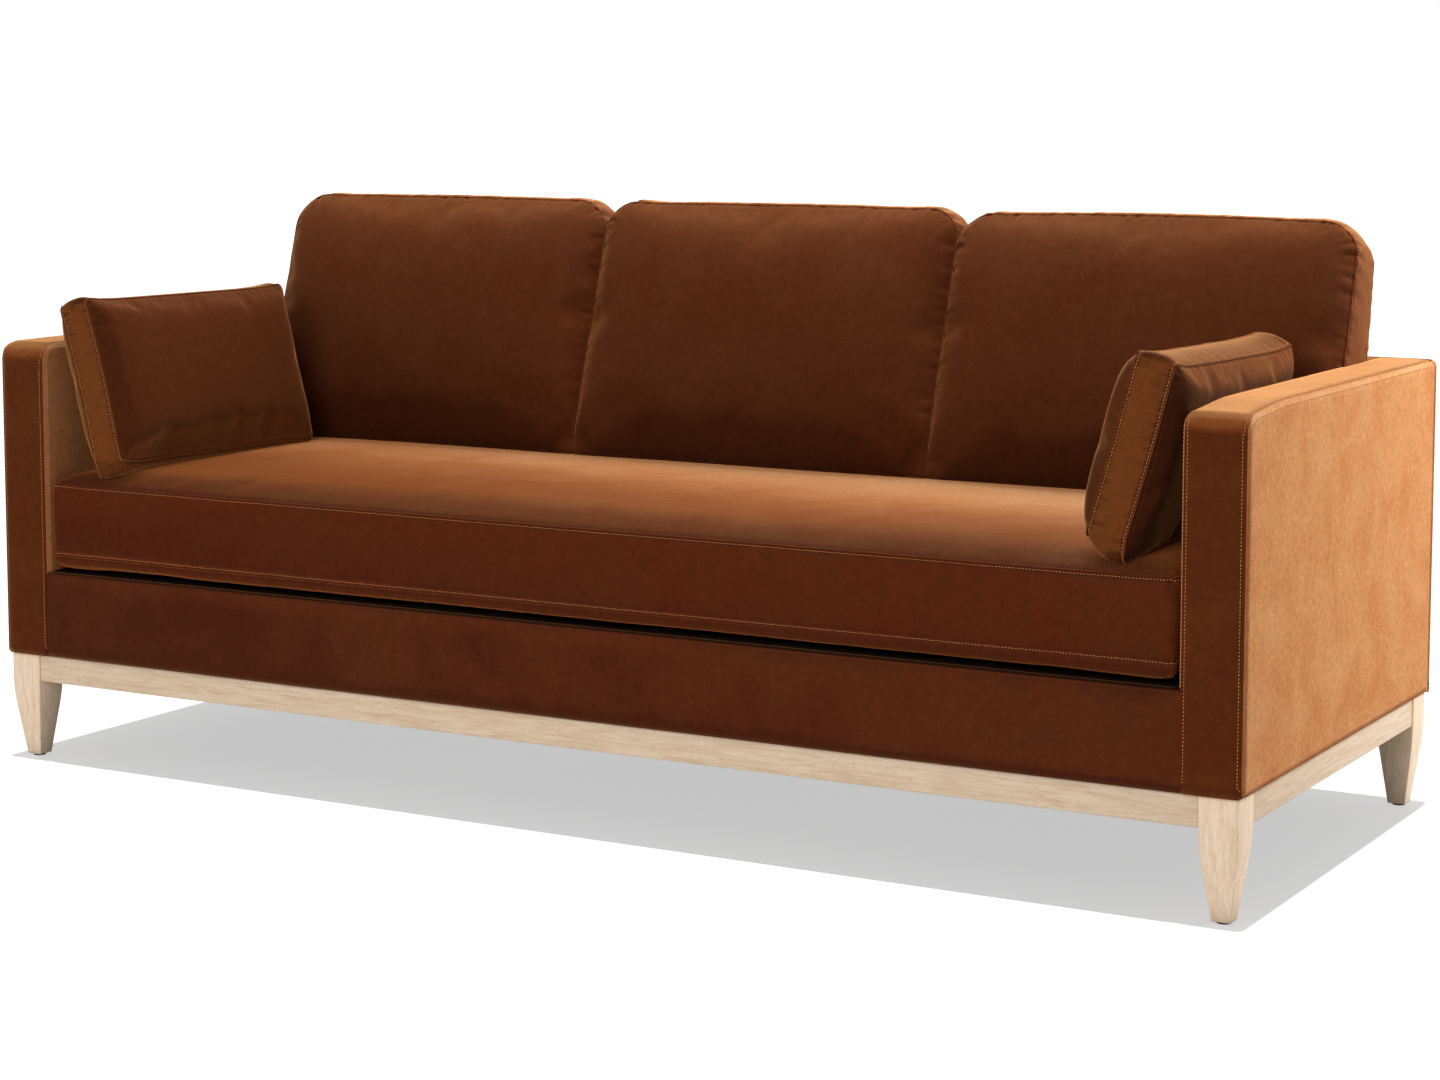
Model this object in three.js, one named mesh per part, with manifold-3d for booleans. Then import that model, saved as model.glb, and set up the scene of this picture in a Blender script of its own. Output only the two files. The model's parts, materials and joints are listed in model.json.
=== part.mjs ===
import * as THREE from 'three';
import Module from 'manifold-3d';
import { mergeVertices } from 'three/addons/utils/BufferGeometryUtils.js';

const wasm = await Module();
wasm.setup();

// A three-seat tuxedo sofa: arms and back of one height on a pale wooden base, with loose cushions.
// Millimetres. X runs along the width, -Y is the front, +Z is up, and the origin is on the floor
// under the middle of the sofa.

// Driving dimensions
const overallWidth = 2140;
const overallDepth = 840;
const bodyTop = 690;
const baseHeight = 175;
const armThickness = 80;
const backTopThickness = 80;
const backSlope = THREE.MathUtils.degToRad(9);
const deckTop = 318;
const fitGap = 0.3;
const cutOverrun = 5;

const halfWidth = overallWidth / 2;
const halfDepth = overallDepth / 2;
const innerHalf = halfWidth - armThickness;
const bodyBottom = baseHeight + fitGap;

// Wooden base
const base = {
  inset: 6,
  legWidth: 57,
  footWidth: 27.5,
  footChamfer: 2,
  glideHeight: 3,
  glideRadius: 10,
  taperRise: 8,
  taperBend: 18,
  taperRun: 38,
  apronHeight: 45,
  apronThickness: 22,
  apronRecess: 2,
  apronTopRound: 5,
  apronFootRound: 3,
  blockReach: 85,
  blockHeight: 32,
  blockDrop: 4,
  braceWidth: 60,
  braceThickness: 20,
};

// Hardwood frame
const frame = {
  railThickness: 25,
  postDepth: 30,
  armRailHeight: 30,
  stretcherWidth: 45,
  stretcherHeight: 50,
  uprightThickness: 25,
  dustThickness: 1.2,
};
const crossShares = [-1 / 3, 1 / 3];

// Upholstery over the frame
const cover = {
  wall: 12,
  edgeRound: 5,
  armFrontRound: 28,
  backTopRound: 22,
  rollRound: 10,
  rollDepth: 75,
  rollEdge: 18,
  deckThickness: 14.7,
};

// Sinuous springs
const springing = {
  count: 10,
  wire: 3.8,
  halfWidth: 30,
  bendReach: 15,
  bends: 15,
  rise: 25,
  clipWall: 1.6,
  clipBore: 4.6,
  clipLength: 18,
  clipRoot: 1,
  endInset: 9,
  tieWire: 3,
};
const tieShares = [1 / 3, 2 / 3];

// Loose cushions
const seatCushion = {
  frontSetback: 2,
  sideClearance: 4,
  rearClearance: 1,
  band: 109,
  crown: 32,
  rearCrown: 30,
  pull: 4,
  swell: 2,
  corner: 30,
  widthSteps: 10,
  heightSteps: 4,
};
const backCushion = {
  gap: 6,
  height: 424,
  band: 146,
  topBand: 84,
  crown: 42,
  rearCrown: 6,
  pull: 5,
  swell: 2,
  topSwell: 12,
  corner: 26,
  widthSteps: 5,
  heightSteps: 4,
};
const backCushionLean = THREE.MathUtils.degToRad(14);
const bolster = {
  frontSetback: 10,
  rearGap: 51.4,
  height: 266,
  band: 46,
  crown: 38,
  rearCrown: 38,
  pull: 6,
  swell: 3,
  topSwell: 5,
  corner: 16,
  widthSteps: 5,
  heightSteps: 3,
};
const bolsterLean = THREE.MathUtils.degToRad(15.7);

// The crown of a cushion, from its seam to its middle: how far in, and how high there.
const insetShares = [0.07, 0.19, 0.46];
const crownShares = [0.5, 0.85, 0.98];
const cornerSteps = 2;

// A loose cushion is settled on its seat by halving the travel that is left, this many times.
const settleTravel = 20;
const settleSteps = 12;

const finishes = {
  velvet: new THREE.MeshStandardMaterial({ color: 0x8f4a20, roughness: 0.85, metalness: 0 }),
  washedOak: new THREE.MeshStandardMaterial({ color: 0xdcc6a6, roughness: 0.6, metalness: 0 }),
  frameWood: new THREE.MeshStandardMaterial({ color: 0xc7a878, roughness: 0.8, metalness: 0 }),
  springSteel: new THREE.MeshStandardMaterial({ color: 0x6d7074, roughness: 0.4, metalness: 1 }),
  dustCloth: new THREE.MeshStandardMaterial({ color: 0x1c1b1a, roughness: 0.95, metalness: 0 }),
  glidePlastic: new THREE.MeshStandardMaterial({ color: 0x2a2725, roughness: 0.6, metalness: 0 }),
};

const sofa = new THREE.Group();
const sides = { left: -1, right: 1 };
const ends = { front: -1, back: 1 };

// The outline's x and y, and the way it is drawn out, for a piece that runs along each axis.
const unitX = new THREE.Vector3(1, 0, 0);
const unitY = new THREE.Vector3(0, 1, 0);
const unitZ = new THREE.Vector3(0, 0, 1);
const turns = {
  x: new THREE.Matrix4().makeBasis(unitY, unitZ, unitX),
  y: new THREE.Matrix4().makeBasis(unitX, unitZ, unitY.clone().negate()),
  z: new THREE.Matrix4(),
};

function place(name, geometry, finish, parent = sofa) {
  const mesh = new THREE.Mesh(geometry, finish);
  mesh.name = name;
  parent.add(mesh);
  return mesh;
}

function block(name, finish, low, high) {
  const size = high.map((value, i) => value - low[i]);
  const mesh = place(name, new THREE.BoxGeometry(...size), finish);
  mesh.position.set(...low.map((value, i) => value + size[i] / 2));
  return mesh;
}

function polygon(points) {
  return new THREE.Shape(points.map(([x, y]) => new THREE.Vector2(x, y)));
}

// An outline drawn out along an axis. Its edges are rounded where a round is given.
function bar(axis, outline, from, to, round = 0) {
  const rounded = { bevelSize: round, bevelThickness: round, bevelOffset: -round, bevelSegments: 2 };
  const depth = to - from - 2 * round;
  const geometry = new THREE.ExtrudeGeometry(outline, {
    depth,
    curveSegments: 4,
    bevelEnabled: round > 0,
    ...rounded,
  });
  const mesh = new THREE.Mesh(geometry);
  mesh.setRotationFromMatrix(turns[axis]);
  mesh.position[axis] = axis === 'y' ? to - round : from + round;
  return mesh;
}

function placeBar(name, finish, mesh) {
  mesh.name = name;
  mesh.material = finish;
  sofa.add(mesh);
  return mesh;
}

function solidOf(mesh) {
  mesh.updateMatrix();
  const shape = mesh.geometry.clone().applyMatrix4(mesh.matrix);
  shape.deleteAttribute('normal');
  shape.deleteAttribute('uv');
  const merged = mergeVertices(shape);
  return new wasm.Manifold(new wasm.Mesh({
    numProp: 3,
    vertProperties: new Float32Array(merged.attributes.position.array),
    triVerts: new Uint32Array(merged.index.array),
  }));
}

function geometryOf(solid) {
  const { vertProperties, triVerts } = solid.getMesh();
  const geometry = new THREE.BufferGeometry();
  geometry.setAttribute('position', new THREE.BufferAttribute(new Float32Array(vertProperties), 3));
  geometry.setIndex(new THREE.BufferAttribute(new Uint32Array(triVerts), 1));
  geometry.computeVertexNormals();
  return geometry;
}

// How far a piece reaches along a direction.
function reach(piece, direction) {
  piece.updateWorldMatrix(true, false);
  const corners = piece.geometry.attributes.position;
  const point = new THREE.Vector3();
  let farthest = -Infinity;
  for (let i = 0; i < corners.count; i += 1) {
    point.fromBufferAttribute(corners, i).applyMatrix4(piece.matrixWorld);
    farthest = Math.max(farthest, point.dot(direction));
  }
  return farthest;
}

// Base: four tapered legs, four aprons between them, and the blocks and braces behind these.
const legOuterX = halfWidth - base.inset;
const legOuterY = halfDepth - base.inset;
const legInnerX = legOuterX - base.legWidth;
const legInnerY = legOuterY - base.legWidth;
const apronFoot = baseHeight - base.apronHeight;
const apronOuterX = legOuterX - base.apronRecess;
const apronOuterY = legOuterY - base.apronRecess;
const apronInnerX = apronOuterX - base.apronThickness;
const apronInnerY = apronOuterY - base.apronThickness;

// A square leg is a turned profile with four sides, so its radius is half the diagonal. Its taper
// starts just above the apron's foot and bends into a straight run below it.
function legGeometry() {
  const diagonal = Math.SQRT2 / 2;
  const foot = base.glideHeight;
  const bendAt = apronFoot - base.taperBend;
  const runAt = apronFoot - base.taperRun;
  const runWidth = THREE.MathUtils.mapLinear(runAt, foot, bendAt, base.footWidth, base.legWidth);
  const bend = new THREE.QuadraticBezierCurve(
    new THREE.Vector2(base.legWidth, apronFoot + base.taperRise),
    new THREE.Vector2(base.legWidth, bendAt),
    new THREE.Vector2(runWidth, runAt),
  );
  const profile = [
    new THREE.Vector2(0, foot),
    new THREE.Vector2(base.footWidth - 2 * base.footChamfer, foot),
    new THREE.Vector2(base.footWidth, foot + base.footChamfer),
    ...bend.getPoints(4).reverse(),
    new THREE.Vector2(base.legWidth, baseHeight),
    new THREE.Vector2(0, baseHeight),
  ];
  profile.forEach((point) => { point.x *= diagonal; });
  return new THREE.LatheGeometry(profile, 4, Math.PI / 4);
}

function apronOutline(outer, inner) {
  const away = Math.sign(inner - outer);
  const outline = new THREE.Shape();
  const { apronTopRound: top, apronFootRound: foot } = base;
  outline.moveTo(inner, apronFoot);
  outline.lineTo(outer + away * foot, apronFoot);
  outline.quadraticCurveTo(outer, apronFoot, outer, apronFoot + foot);
  outline.lineTo(outer, baseHeight - top);
  outline.quadraticCurveTo(outer, baseHeight, outer + away * top, baseHeight);
  outline.lineTo(inner, baseHeight);
  return outline;
}

for (const [endName, end] of Object.entries(ends)) {
  const outline = apronOutline(end * apronOuterY, end * apronInnerY);
  const reachX = legInnerX - fitGap;
  placeBar(`${endName}_apron`, finishes.washedOak, bar('x', outline, -reachX, reachX));
}
for (const [sideName, side] of Object.entries(sides)) {
  const outline = apronOutline(side * apronOuterX, side * apronInnerX);
  const reachY = legInnerY - fitGap;
  placeBar(`${sideName}_apron`, finishes.washedOak, bar('y', outline, -reachY, reachY));
}

for (const [endName, end] of Object.entries(ends)) {
  for (const [sideName, side] of Object.entries(sides)) {
    const corner = new THREE.Group();
    corner.position.set(side * (legOuterX - base.legWidth / 2), end * (legOuterY - base.legWidth / 2), 0);
    sofa.add(corner);
    const leg = place(`leg_${endName}_${sideName}`, legGeometry(), finishes.washedOak, corner);
    leg.rotation.x = Math.PI / 2;
    const glideDepth = base.glideHeight - fitGap;
    const disc = new THREE.CylinderGeometry(base.glideRadius, base.glideRadius, glideDepth, 12);
    const glide = place(`glide_${endName}_${sideName}`, disc, finishes.glidePlastic, corner);
    glide.rotation.x = Math.PI / 2;
    glide.position.z = glideDepth / 2;

    // The block is notched round the leg's inner corner and bears on both aprons.
    const legX = legInnerX - fitGap;
    const legY = legInnerY - fitGap;
    const farX = apronInnerX - fitGap;
    const farY = apronInnerY - fitGap;
    const outline = polygon([
      [legX - base.blockReach, farY],
      [legX, farY],
      [legX, legY],
      [farX, legY],
      [farX, legY - base.blockReach],
    ].map(([x, y]) => [side * x, end * y]));
    const top = baseHeight - base.blockDrop;
    const cornerBlock = bar('z', outline, top - base.blockHeight, top);
    placeBar(`corner_block_${endName}_${sideName}`, finishes.frameWood, cornerBlock);
  }
}

crossShares.forEach((share, i) => {
  const middle = share * innerHalf;
  const reachY = apronInnerY - fitGap;
  const top = baseHeight - fitGap;
  block(
    `base_brace_${i + 1}`,
    finishes.washedOak,
    [middle - base.braceWidth / 2, -reachY, top - base.braceThickness],
    [middle + base.braceWidth / 2, reachY, top],
  );
});

// The sloping face of the inside back, and how far behind it the frame starts.
const backFaceAt = (z) => halfDepth - backTopThickness - (bodyTop - z) * Math.tan(backSlope);
const padRun = cover.wall / Math.cos(backSlope);

// Hardwood frame: seat rails, stretchers, arm posts and rails, uprights and top rail of the back.
const frameBottom = bodyBottom + frame.dustThickness + fitGap;
const cavityOuterX = halfWidth - cover.wall - fitGap;
const cavityInnerX = innerHalf + cover.wall + fitGap;
const cavityY = halfDepth - cover.wall - fitGap;
const cavityTop = bodyTop - cover.wall - fitGap;
const postTop = cavityTop - frame.armRailHeight - fitGap;
const postInnerY = cavityY - frame.postDepth;

// The springs rise from the clips on the rails to the underside of the deck pad.
const deckFoot = deckTop - cover.deckThickness;
const clipHalf = springing.clipBore / 2 + springing.clipWall;
const clipMiddle = deckFoot - fitGap - springing.wire / 2 - springing.rise;
const railTop = clipMiddle - clipHalf;

// The back rail stands forward of the inside back, which rests on it behind the clips.
const backRailFace = backFaceAt(railTop + fitGap) - fitGap - clipHalf - springing.endInset;
const springFront = -cavityY + springing.endInset;
const springBack = backRailFace + springing.endInset;
const springPitch = (springBack - springFront) / springing.bends;
const springSpacing = (2 * innerHalf) / springing.count;
const springNumbers = Array.from({ length: springing.count }, (_, i) => i);
const springPlaces = springNumbers.map((i) => (i + 0.5) * springSpacing - innerHalf);

// A clip is a small loop of strip that holds the end of a spring on top of its rail.
function clipSolid(x, y) {
  const bore = springing.clipBore / 2;
  const foot = railTop - springing.clipRoot;
  const outline = polygon([
    [y - clipHalf, foot],
    [y + clipHalf, foot],
    [y + clipHalf, clipMiddle + clipHalf],
    [y - clipHalf, clipMiddle + clipHalf],
  ]);
  outline.holes.push(polygon([
    [y - bore, clipMiddle - bore],
    [y - bore, clipMiddle + bore],
    [y + bore, clipMiddle + bore],
    [y + bore, clipMiddle - bore],
  ]));
  return solidOf(bar('x', outline, x - springing.clipLength / 2, x + springing.clipLength / 2));
}

function springRail(name, nearY, farY, clipY) {
  const reachX = cavityInnerX - fitGap;
  const outline = polygon([
    [nearY, frameBottom],
    [farY, frameBottom],
    [farY, railTop],
    [nearY, railTop],
  ]);
  let rail = solidOf(bar('x', outline, -reachX, reachX));
  for (const x of springPlaces) {
    rail = rail.add(clipSolid(x, clipY));
  }
  place(name, geometryOf(rail), finishes.frameWood);
}

springRail('front_seat_rail', -cavityY, -cavityY + frame.railThickness, springFront);
springRail('back_seat_rail', backRailFace, backRailFace + frame.railThickness, springBack);

crossShares.forEach((share, i) => {
  const middle = share * innerHalf;
  block(
    `seat_stretcher_${i + 1}`,
    finishes.frameWood,
    [middle - frame.stretcherWidth / 2, -cavityY + frame.railThickness + fitGap, frameBottom],
    [middle + frame.stretcherWidth / 2, backRailFace - fitGap, frameBottom + frame.stretcherHeight],
  );
});

function sidePiece(name, side, innerX, outerX, yRange, zRange) {
  const [low, high] = [side * innerX, side * outerX].sort((a, b) => a - b);
  block(name, finishes.frameWood, [low, yRange[0], zRange[0]], [high, yRange[1], zRange[1]]);
}

for (const [sideName, side] of Object.entries(sides)) {
  const postZ = [frameBottom, postTop];
  const railZ = [frameBottom, railTop];
  const railX = cavityInnerX + frame.railThickness;
  const railY = postInnerY - fitGap;
  const armRailFront = -(halfDepth - cover.armFrontRound);
  sidePiece(`${sideName}_arm_front_post`, side, cavityInnerX, cavityOuterX, [-cavityY, -postInnerY], postZ);
  sidePiece(`${sideName}_arm_back_post`, side, cavityInnerX, cavityOuterX, [postInnerY, cavityY], postZ);
  sidePiece(`${sideName}_seat_rail`, side, cavityInnerX, railX, [-railY, railY], railZ);
  sidePiece(
    `${sideName}_arm_top_rail`,
    side,
    cavityInnerX,
    cavityOuterX,
    [armRailFront, cavityY],
    [postTop + fitGap, cavityTop],
  );
}

// The uprights are cut to the slope of the back above the seat rail that they stand behind.
const uprightFoot = backRailFace + frame.railThickness + fitGap;
const uprightFaceAt = (z) => backFaceAt(z) + padRun + fitGap;
const uprightBend = bodyTop - (uprightFaceAt(bodyTop) - uprightFoot) / Math.tan(backSlope);
const uprightEnd = innerHalf - fitGap - frame.uprightThickness / 2;
[-uprightEnd, crossShares[0] * innerHalf, crossShares[1] * innerHalf, uprightEnd].forEach((middle, i) => {
  const outline = polygon([
    [uprightFoot, frameBottom],
    [cavityY, frameBottom],
    [cavityY, postTop],
    [uprightFaceAt(postTop), postTop],
    [uprightFoot, uprightBend],
  ]);
  const half = frame.uprightThickness / 2;
  placeBar(`back_upright_${i + 1}`, finishes.frameWood, bar('x', outline, middle - half, middle + half));
});
block(
  'back_top_rail',
  finishes.frameWood,
  [-innerHalf + fitGap, uprightFaceAt(cavityTop), postTop + fitGap],
  [innerHalf - fitGap, cavityY, cavityTop],
);

// Sinuous springs, arched from the front rail's clips to the back rail's, with tie wires over them.
const springHeightAt = (y) => {
  const along = (y - springFront) / (springBack - springFront);
  return clipMiddle + springing.rise * Math.sin(Math.PI * along);
};

class SpringLine extends THREE.Curve {
  constructor() {
    super();
    const { bends, halfWidth: wide, bendReach } = springing;
    const plan = [[bendReach - wide, springFront]];
    for (let bend = 0; bend < bends; bend += 1) {
      const side = bend % 2 === 0 ? 1 : -1;
      const middle = springFront + (bend + 0.5) * springPitch;
      for (const angle of [-Math.PI / 2, -Math.PI / 6, Math.PI / 6, Math.PI / 2]) {
        plan.push([
          side * (wide - bendReach + bendReach * Math.cos(angle)),
          middle + (springPitch / 2) * Math.sin(angle),
        ]);
      }
    }
    const lastSide = bends % 2 === 0 ? 1 : -1;
    plan.push([lastSide * (wide - bendReach), springBack]);
    this.stops = plan.map(([x, y]) => new THREE.Vector3(x, y, springHeightAt(y)));
  }

  getPoint(t, target = new THREE.Vector3()) {
    const along = THREE.MathUtils.clamp(t, 0, 1) * (this.stops.length - 1);
    const stop = Math.min(Math.floor(along), this.stops.length - 2);
    return target.lerpVectors(this.stops[stop], this.stops[stop + 1], along - stop);
  }

  getPointAt(t, target) {
    return this.getPoint(t, target);
  }

  getTangentAt(t, target) {
    return this.getTangent(t, target);
  }
}

const springLine = new SpringLine();
const wireRadius = springing.wire / 2;
const wireSection = polygon([[wireRadius, 0], [0, wireRadius], [-wireRadius, 0], [0, -wireRadius]]);
const springGeometry = new THREE.ExtrudeGeometry(wireSection, {
  steps: springLine.stops.length - 1,
  extrudePath: springLine,
});
springPlaces.forEach((x, i) => {
  const spring = place(`sinuous_spring_${i + 1}`, springGeometry, finishes.springSteel);
  spring.position.x = x;
});

// Each tie wire lies over a straight run of every spring.
tieShares.forEach((share, i) => {
  const y = springFront + Math.round(share * springing.bends) * springPitch;
  const radius = springing.tieWire / 2;
  const z = springHeightAt(y) + wireRadius + fitGap + radius;
  const outline = new THREE.Shape().absarc(y, z, radius, 0, 2 * Math.PI);
  const reachX = innerHalf - springing.endInset;
  placeBar(`spring_tie_wire_${i + 1}`, finishes.springSteel, bar('x', outline, -reachX, reachX));
});

// Arm covers: padded shells round the arm frames, open below, behind, and where the seat rails enter.
function armSide(front, top, round, back, foot) {
  const outline = new THREE.Shape();
  outline.moveTo(front, foot);
  outline.lineTo(back, foot);
  outline.lineTo(back, top);
  outline.lineTo(front + round, top);
  outline.absarc(front + round, top - round, round, Math.PI / 2, Math.PI);
  return outline;
}

const armSolids = {};
for (const [sideName, side] of Object.entries(sides)) {
  const { wall, armFrontRound, edgeRound } = cover;
  const [lowX, highX] = [side * innerHalf, side * halfWidth].sort((a, b) => a - b);
  const outer = armSide(-halfDepth, bodyTop, armFrontRound, halfDepth - wall - fitGap, bodyBottom);
  const inner = armSide(
    -halfDepth + wall,
    bodyTop - wall,
    armFrontRound - wall,
    halfDepth + cutOverrun,
    bodyBottom - cutOverrun,
  );
  const passEnds = [side * (innerHalf - cutOverrun), side * (halfWidth - wall)];
  const pass = polygon([
    [-halfDepth + wall, bodyBottom - cutOverrun],
    [halfDepth + cutOverrun, bodyBottom - cutOverrun],
    [halfDepth + cutOverrun, railTop + fitGap],
    [-halfDepth + wall, railTop + fitGap],
  ]);
  const shell = solidOf(bar('x', outer, lowX, highX, edgeRound))
    .subtract(solidOf(bar('x', inner, lowX + wall, highX - wall)))
    .subtract(solidOf(bar('x', pass, Math.min(...passEnds), Math.max(...passEnds))));
  place(`${sideName}_arm_cover`, geometryOf(shell), finishes.velvet);
  armSolids[sideName] = shell;
}

// Back covers: the inside back with its rounded top band, and the flat panel behind.
const coverX = innerHalf - fitGap;
const padFoot = railTop + fitGap;
const padBack = halfDepth - cover.wall - fitGap;
const padTopFront = halfDepth - backTopThickness;
const insideBack = new THREE.Shape();
insideBack.moveTo(backFaceAt(padFoot), padFoot);
insideBack.lineTo(backFaceAt(padFoot) + padRun, padFoot);
insideBack.lineTo(backFaceAt(bodyTop - cover.wall) + padRun, bodyTop - cover.wall);
insideBack.lineTo(padBack, bodyTop - cover.wall);
insideBack.lineTo(padBack, bodyTop);
insideBack.lineTo(padTopFront + cover.backTopRound, bodyTop);
insideBack.quadraticCurveTo(
  padTopFront,
  bodyTop,
  backFaceAt(bodyTop - cover.backTopRound),
  bodyTop - cover.backTopRound,
);
const insideBackBar = placeBar('inside_back_cover', finishes.velvet, bar('x', insideBack, -coverX, coverX));
const insideBackSolid = solidOf(insideBackBar);

const outsideBack = polygon([
  [-halfWidth, bodyBottom],
  [halfWidth, bodyBottom],
  [halfWidth, bodyTop],
  [-halfWidth, bodyTop],
]);
placeBar('outside_back_panel', finishes.velvet, bar('y', outsideBack, halfDepth - cover.wall, halfDepth));

// Front border with its edge roll over the front rail, and the deck behind it on the springs.
const rollBack = -halfDepth + cover.rollDepth;
const borderBack = -halfDepth + cover.wall;
const rollFoot = clipMiddle + clipHalf + fitGap;
const border = new THREE.Shape();
border.moveTo(-halfDepth, bodyBottom);
border.lineTo(borderBack, bodyBottom);
border.lineTo(borderBack, rollFoot);
border.lineTo(borderBack + frame.railThickness, rollFoot);
border.lineTo(rollBack, deckTop - cover.rollEdge);
border.lineTo(rollBack, deckTop);
const { rollRound } = cover;
border.lineTo(-halfDepth + rollRound, deckTop);
border.absarc(-halfDepth + rollRound, deckTop - rollRound, rollRound, Math.PI / 2, Math.PI);
placeBar('front_border', finishes.velvet, bar('x', border, -coverX, coverX));

block(
  'deck_pad',
  finishes.velvet,
  [-coverX, rollBack + fitGap, deckFoot],
  [coverX, backFaceAt(deckFoot) - fitGap, deckTop],
);
block(
  'dust_cover',
  finishes.dustCloth,
  [-cavityOuterX, -cavityY, bodyBottom],
  [cavityOuterX, cavityY, bodyBottom + frame.dustThickness],
);

// A boxed cushion: two crowned faces with a band between them, drawn in along its sides between the
// corners. It is made with its width along X, its height along Y from 0 and its thickness along Z.
function cushionGeometry(size) {
  const { width, height, corner, widthSteps, heightSteps } = size;
  const topBand = size.topBand ?? size.band;
  const standing = size.topSwell !== undefined;
  const halfX = width / 2;
  const halfY = height / 2;
  const outline = [];
  const cornerSigns = [[1, 1], [-1, 1], [-1, -1], [1, -1]];
  cornerSigns.forEach(([signX, signY], quarter) => {
    for (let step = 0; step <= cornerSteps; step += 1) {
      const angle = (quarter + step / cornerSteps) * (Math.PI / 2);
      outline.push([
        signX * (halfX - corner) + corner * Math.cos(angle),
        signY * (halfY - corner) + corner * Math.sin(angle),
      ]);
    }
    const [nextX, nextY] = cornerSigns[(quarter + 1) % 4];
    const alongWidth = nextY === signY;
    const steps = alongWidth ? widthSteps : heightSteps;
    for (let step = 1; step < steps; step += 1) {
      const run = THREE.MathUtils.mapLinear(step, 0, steps, 1, -1);
      const x = alongWidth ? run * signX * (halfX - corner) : nextX * halfX;
      const y = alongWidth ? nextY * halfY : run * signY * (halfY - corner);
      outline.push([x, y]);
    }
  });

  // One ring of points: how far in from the seam, how far out past it, and where through the thickness.
  const ring = (inset, swell, topSwell, depthAt) => outline.map(([x, y]) => {
    const shareX = x / halfX;
    const shareY = y / halfY;
    const drawnX = size.pull * (1 - shareY ** 2) * shareX;
    const drawnY = size.pull * (1 - shareX ** 2) * (standing ? Math.max(shareY, 0) : shareY);
    const swellY = shareY > 0 ? topSwell : swell;
    const reachX = (x - drawnX) * ((halfX - inset + swell) / halfX);
    const reachY = (y - drawnY) * ((halfY - inset + swellY) / halfY);
    const heightY = standing ? Math.max(reachY, -halfY) : reachY;
    const band = THREE.MathUtils.mapLinear(heightY, -halfY, halfY, size.band, topBand);
    return new THREE.Vector3(reachX, heightY + halfY, depthAt(band / 2));
  });

  const narrow = Math.min(halfX, halfY);
  const middleBand = (size.band + topBand) / 4;
  const faceRings = (sign, crown) => insetShares.map((inset, i) => (
    ring(inset * narrow, 0, 0, (half) => sign * (half + crown * crownShares[i]))
  ));
  const rings = [
    ...faceRings(1, size.crown).reverse(),
    ring(0, 0, 0, (half) => half),
    ring(0, size.swell, size.topSwell ?? size.swell, () => 0),
    ring(0, 0, 0, (half) => -half),
    ...faceRings(-1, size.rearCrown),
  ];
  const points = [new THREE.Vector3(0, halfY, middleBand + size.crown)];
  rings.forEach((places) => points.push(...places));
  points.push(new THREE.Vector3(0, halfY, -middleBand - size.rearCrown));

  const around = outline.length;
  const index = [];
  for (let i = 0; i < around; i += 1) {
    const next = (i + 1) % around;
    index.push(0, 1 + i, 1 + next);
    for (let row = 0; row < rings.length - 1; row += 1) {
      const near = 1 + row * around;
      const far = near + around;
      index.push(near + i, far + i, far + next);
      index.push(near + i, far + next, near + next);
    }
    const last = 1 + (rings.length - 1) * around;
    index.push(points.length - 1, last + next, last + i);
  }
  const geometry = new THREE.BufferGeometry().setFromPoints(points);
  geometry.setIndex(index);
  geometry.computeVertexNormals();
  return geometry;
}

// Seat cushion: one bench cushion that rests on the deck between the arms.
const seatFront = -halfDepth + seatCushion.frontSetback;
const seatSeam = deckTop + fitGap + seatCushion.rearCrown;
const seat = place('seat_cushion', cushionGeometry({
  ...seatCushion,
  width: 2 * (innerHalf - seatCushion.sideClearance),
  height: backFaceAt(seatSeam) - seatCushion.rearClearance - seatFront,
}), finishes.velvet);
seat.position.y = seatFront;
seat.position.z = deckTop + fitGap + reach(seat, unitZ.clone().negate());
const seatSolid = solidOf(seat);

// Moves a piece along a direction until it lies a fit gap from the solid in its way.
function settle(piece, direction, solid) {
  const start = piece.position.clone();
  let clear = 0;
  let blocked = settleTravel;
  for (let step = 0; step < settleSteps; step += 1) {
    const middle = (clear + blocked) / 2;
    piece.position.copy(start).addScaledVector(direction, middle + fitGap);
    if (solidOf(piece).intersect(solid).isEmpty()) {
      clear = middle;
    } else {
      blocked = middle;
    }
  }
  piece.position.copy(start).addScaledVector(direction, clear);
}

// Leans a cushion against a solid whose face has the given normal and offset, and stands it on the seat.
function leanOnSeat(cushion, facing, offset, solid) {
  cushion.updateMatrix();
  const up = new THREE.Vector3().setFromMatrixColumn(cushion.matrix, 1);
  const thickness = new THREE.Vector3().setFromMatrixColumn(cushion.matrix, 2);
  const height = reach(seat, up) + fitGap;
  const behind = reach(cushion, facing.clone().negate());
  const along = (offset + fitGap + behind - height * up.dot(facing)) / thickness.dot(facing);
  cushion.position.addScaledVector(up, height).addScaledVector(thickness, along);
  settle(cushion, thickness.negate(), solid);
  settle(cushion, up.negate(), seatSolid);
}

// Back cushions: three, wedge shaped, that stand on the seat cushion against the inside back.
const cushionPitch = (2 * innerHalf) / 3;
const backNormal = new THREE.Vector3(0, -Math.cos(backSlope), Math.sin(backSlope));
const backOffset = backNormal.dot(new THREE.Vector3(0, padTopFront, bodyTop));
const backCushionReaches = ['left', 'center', 'right'].map((name, i) => {
  const cushion = place(`back_cushion_${name}`, cushionGeometry({
    ...backCushion,
    width: cushionPitch - backCushion.gap,
  }), finishes.velvet);
  cushion.rotation.x = Math.PI / 2 - backCushionLean;
  cushion.position.x = (i - 1) * cushionPitch;
  leanOnSeat(cushion, backNormal, backOffset, insideBackSolid);
  return reach(cushion, unitY.clone().negate());
});

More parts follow.
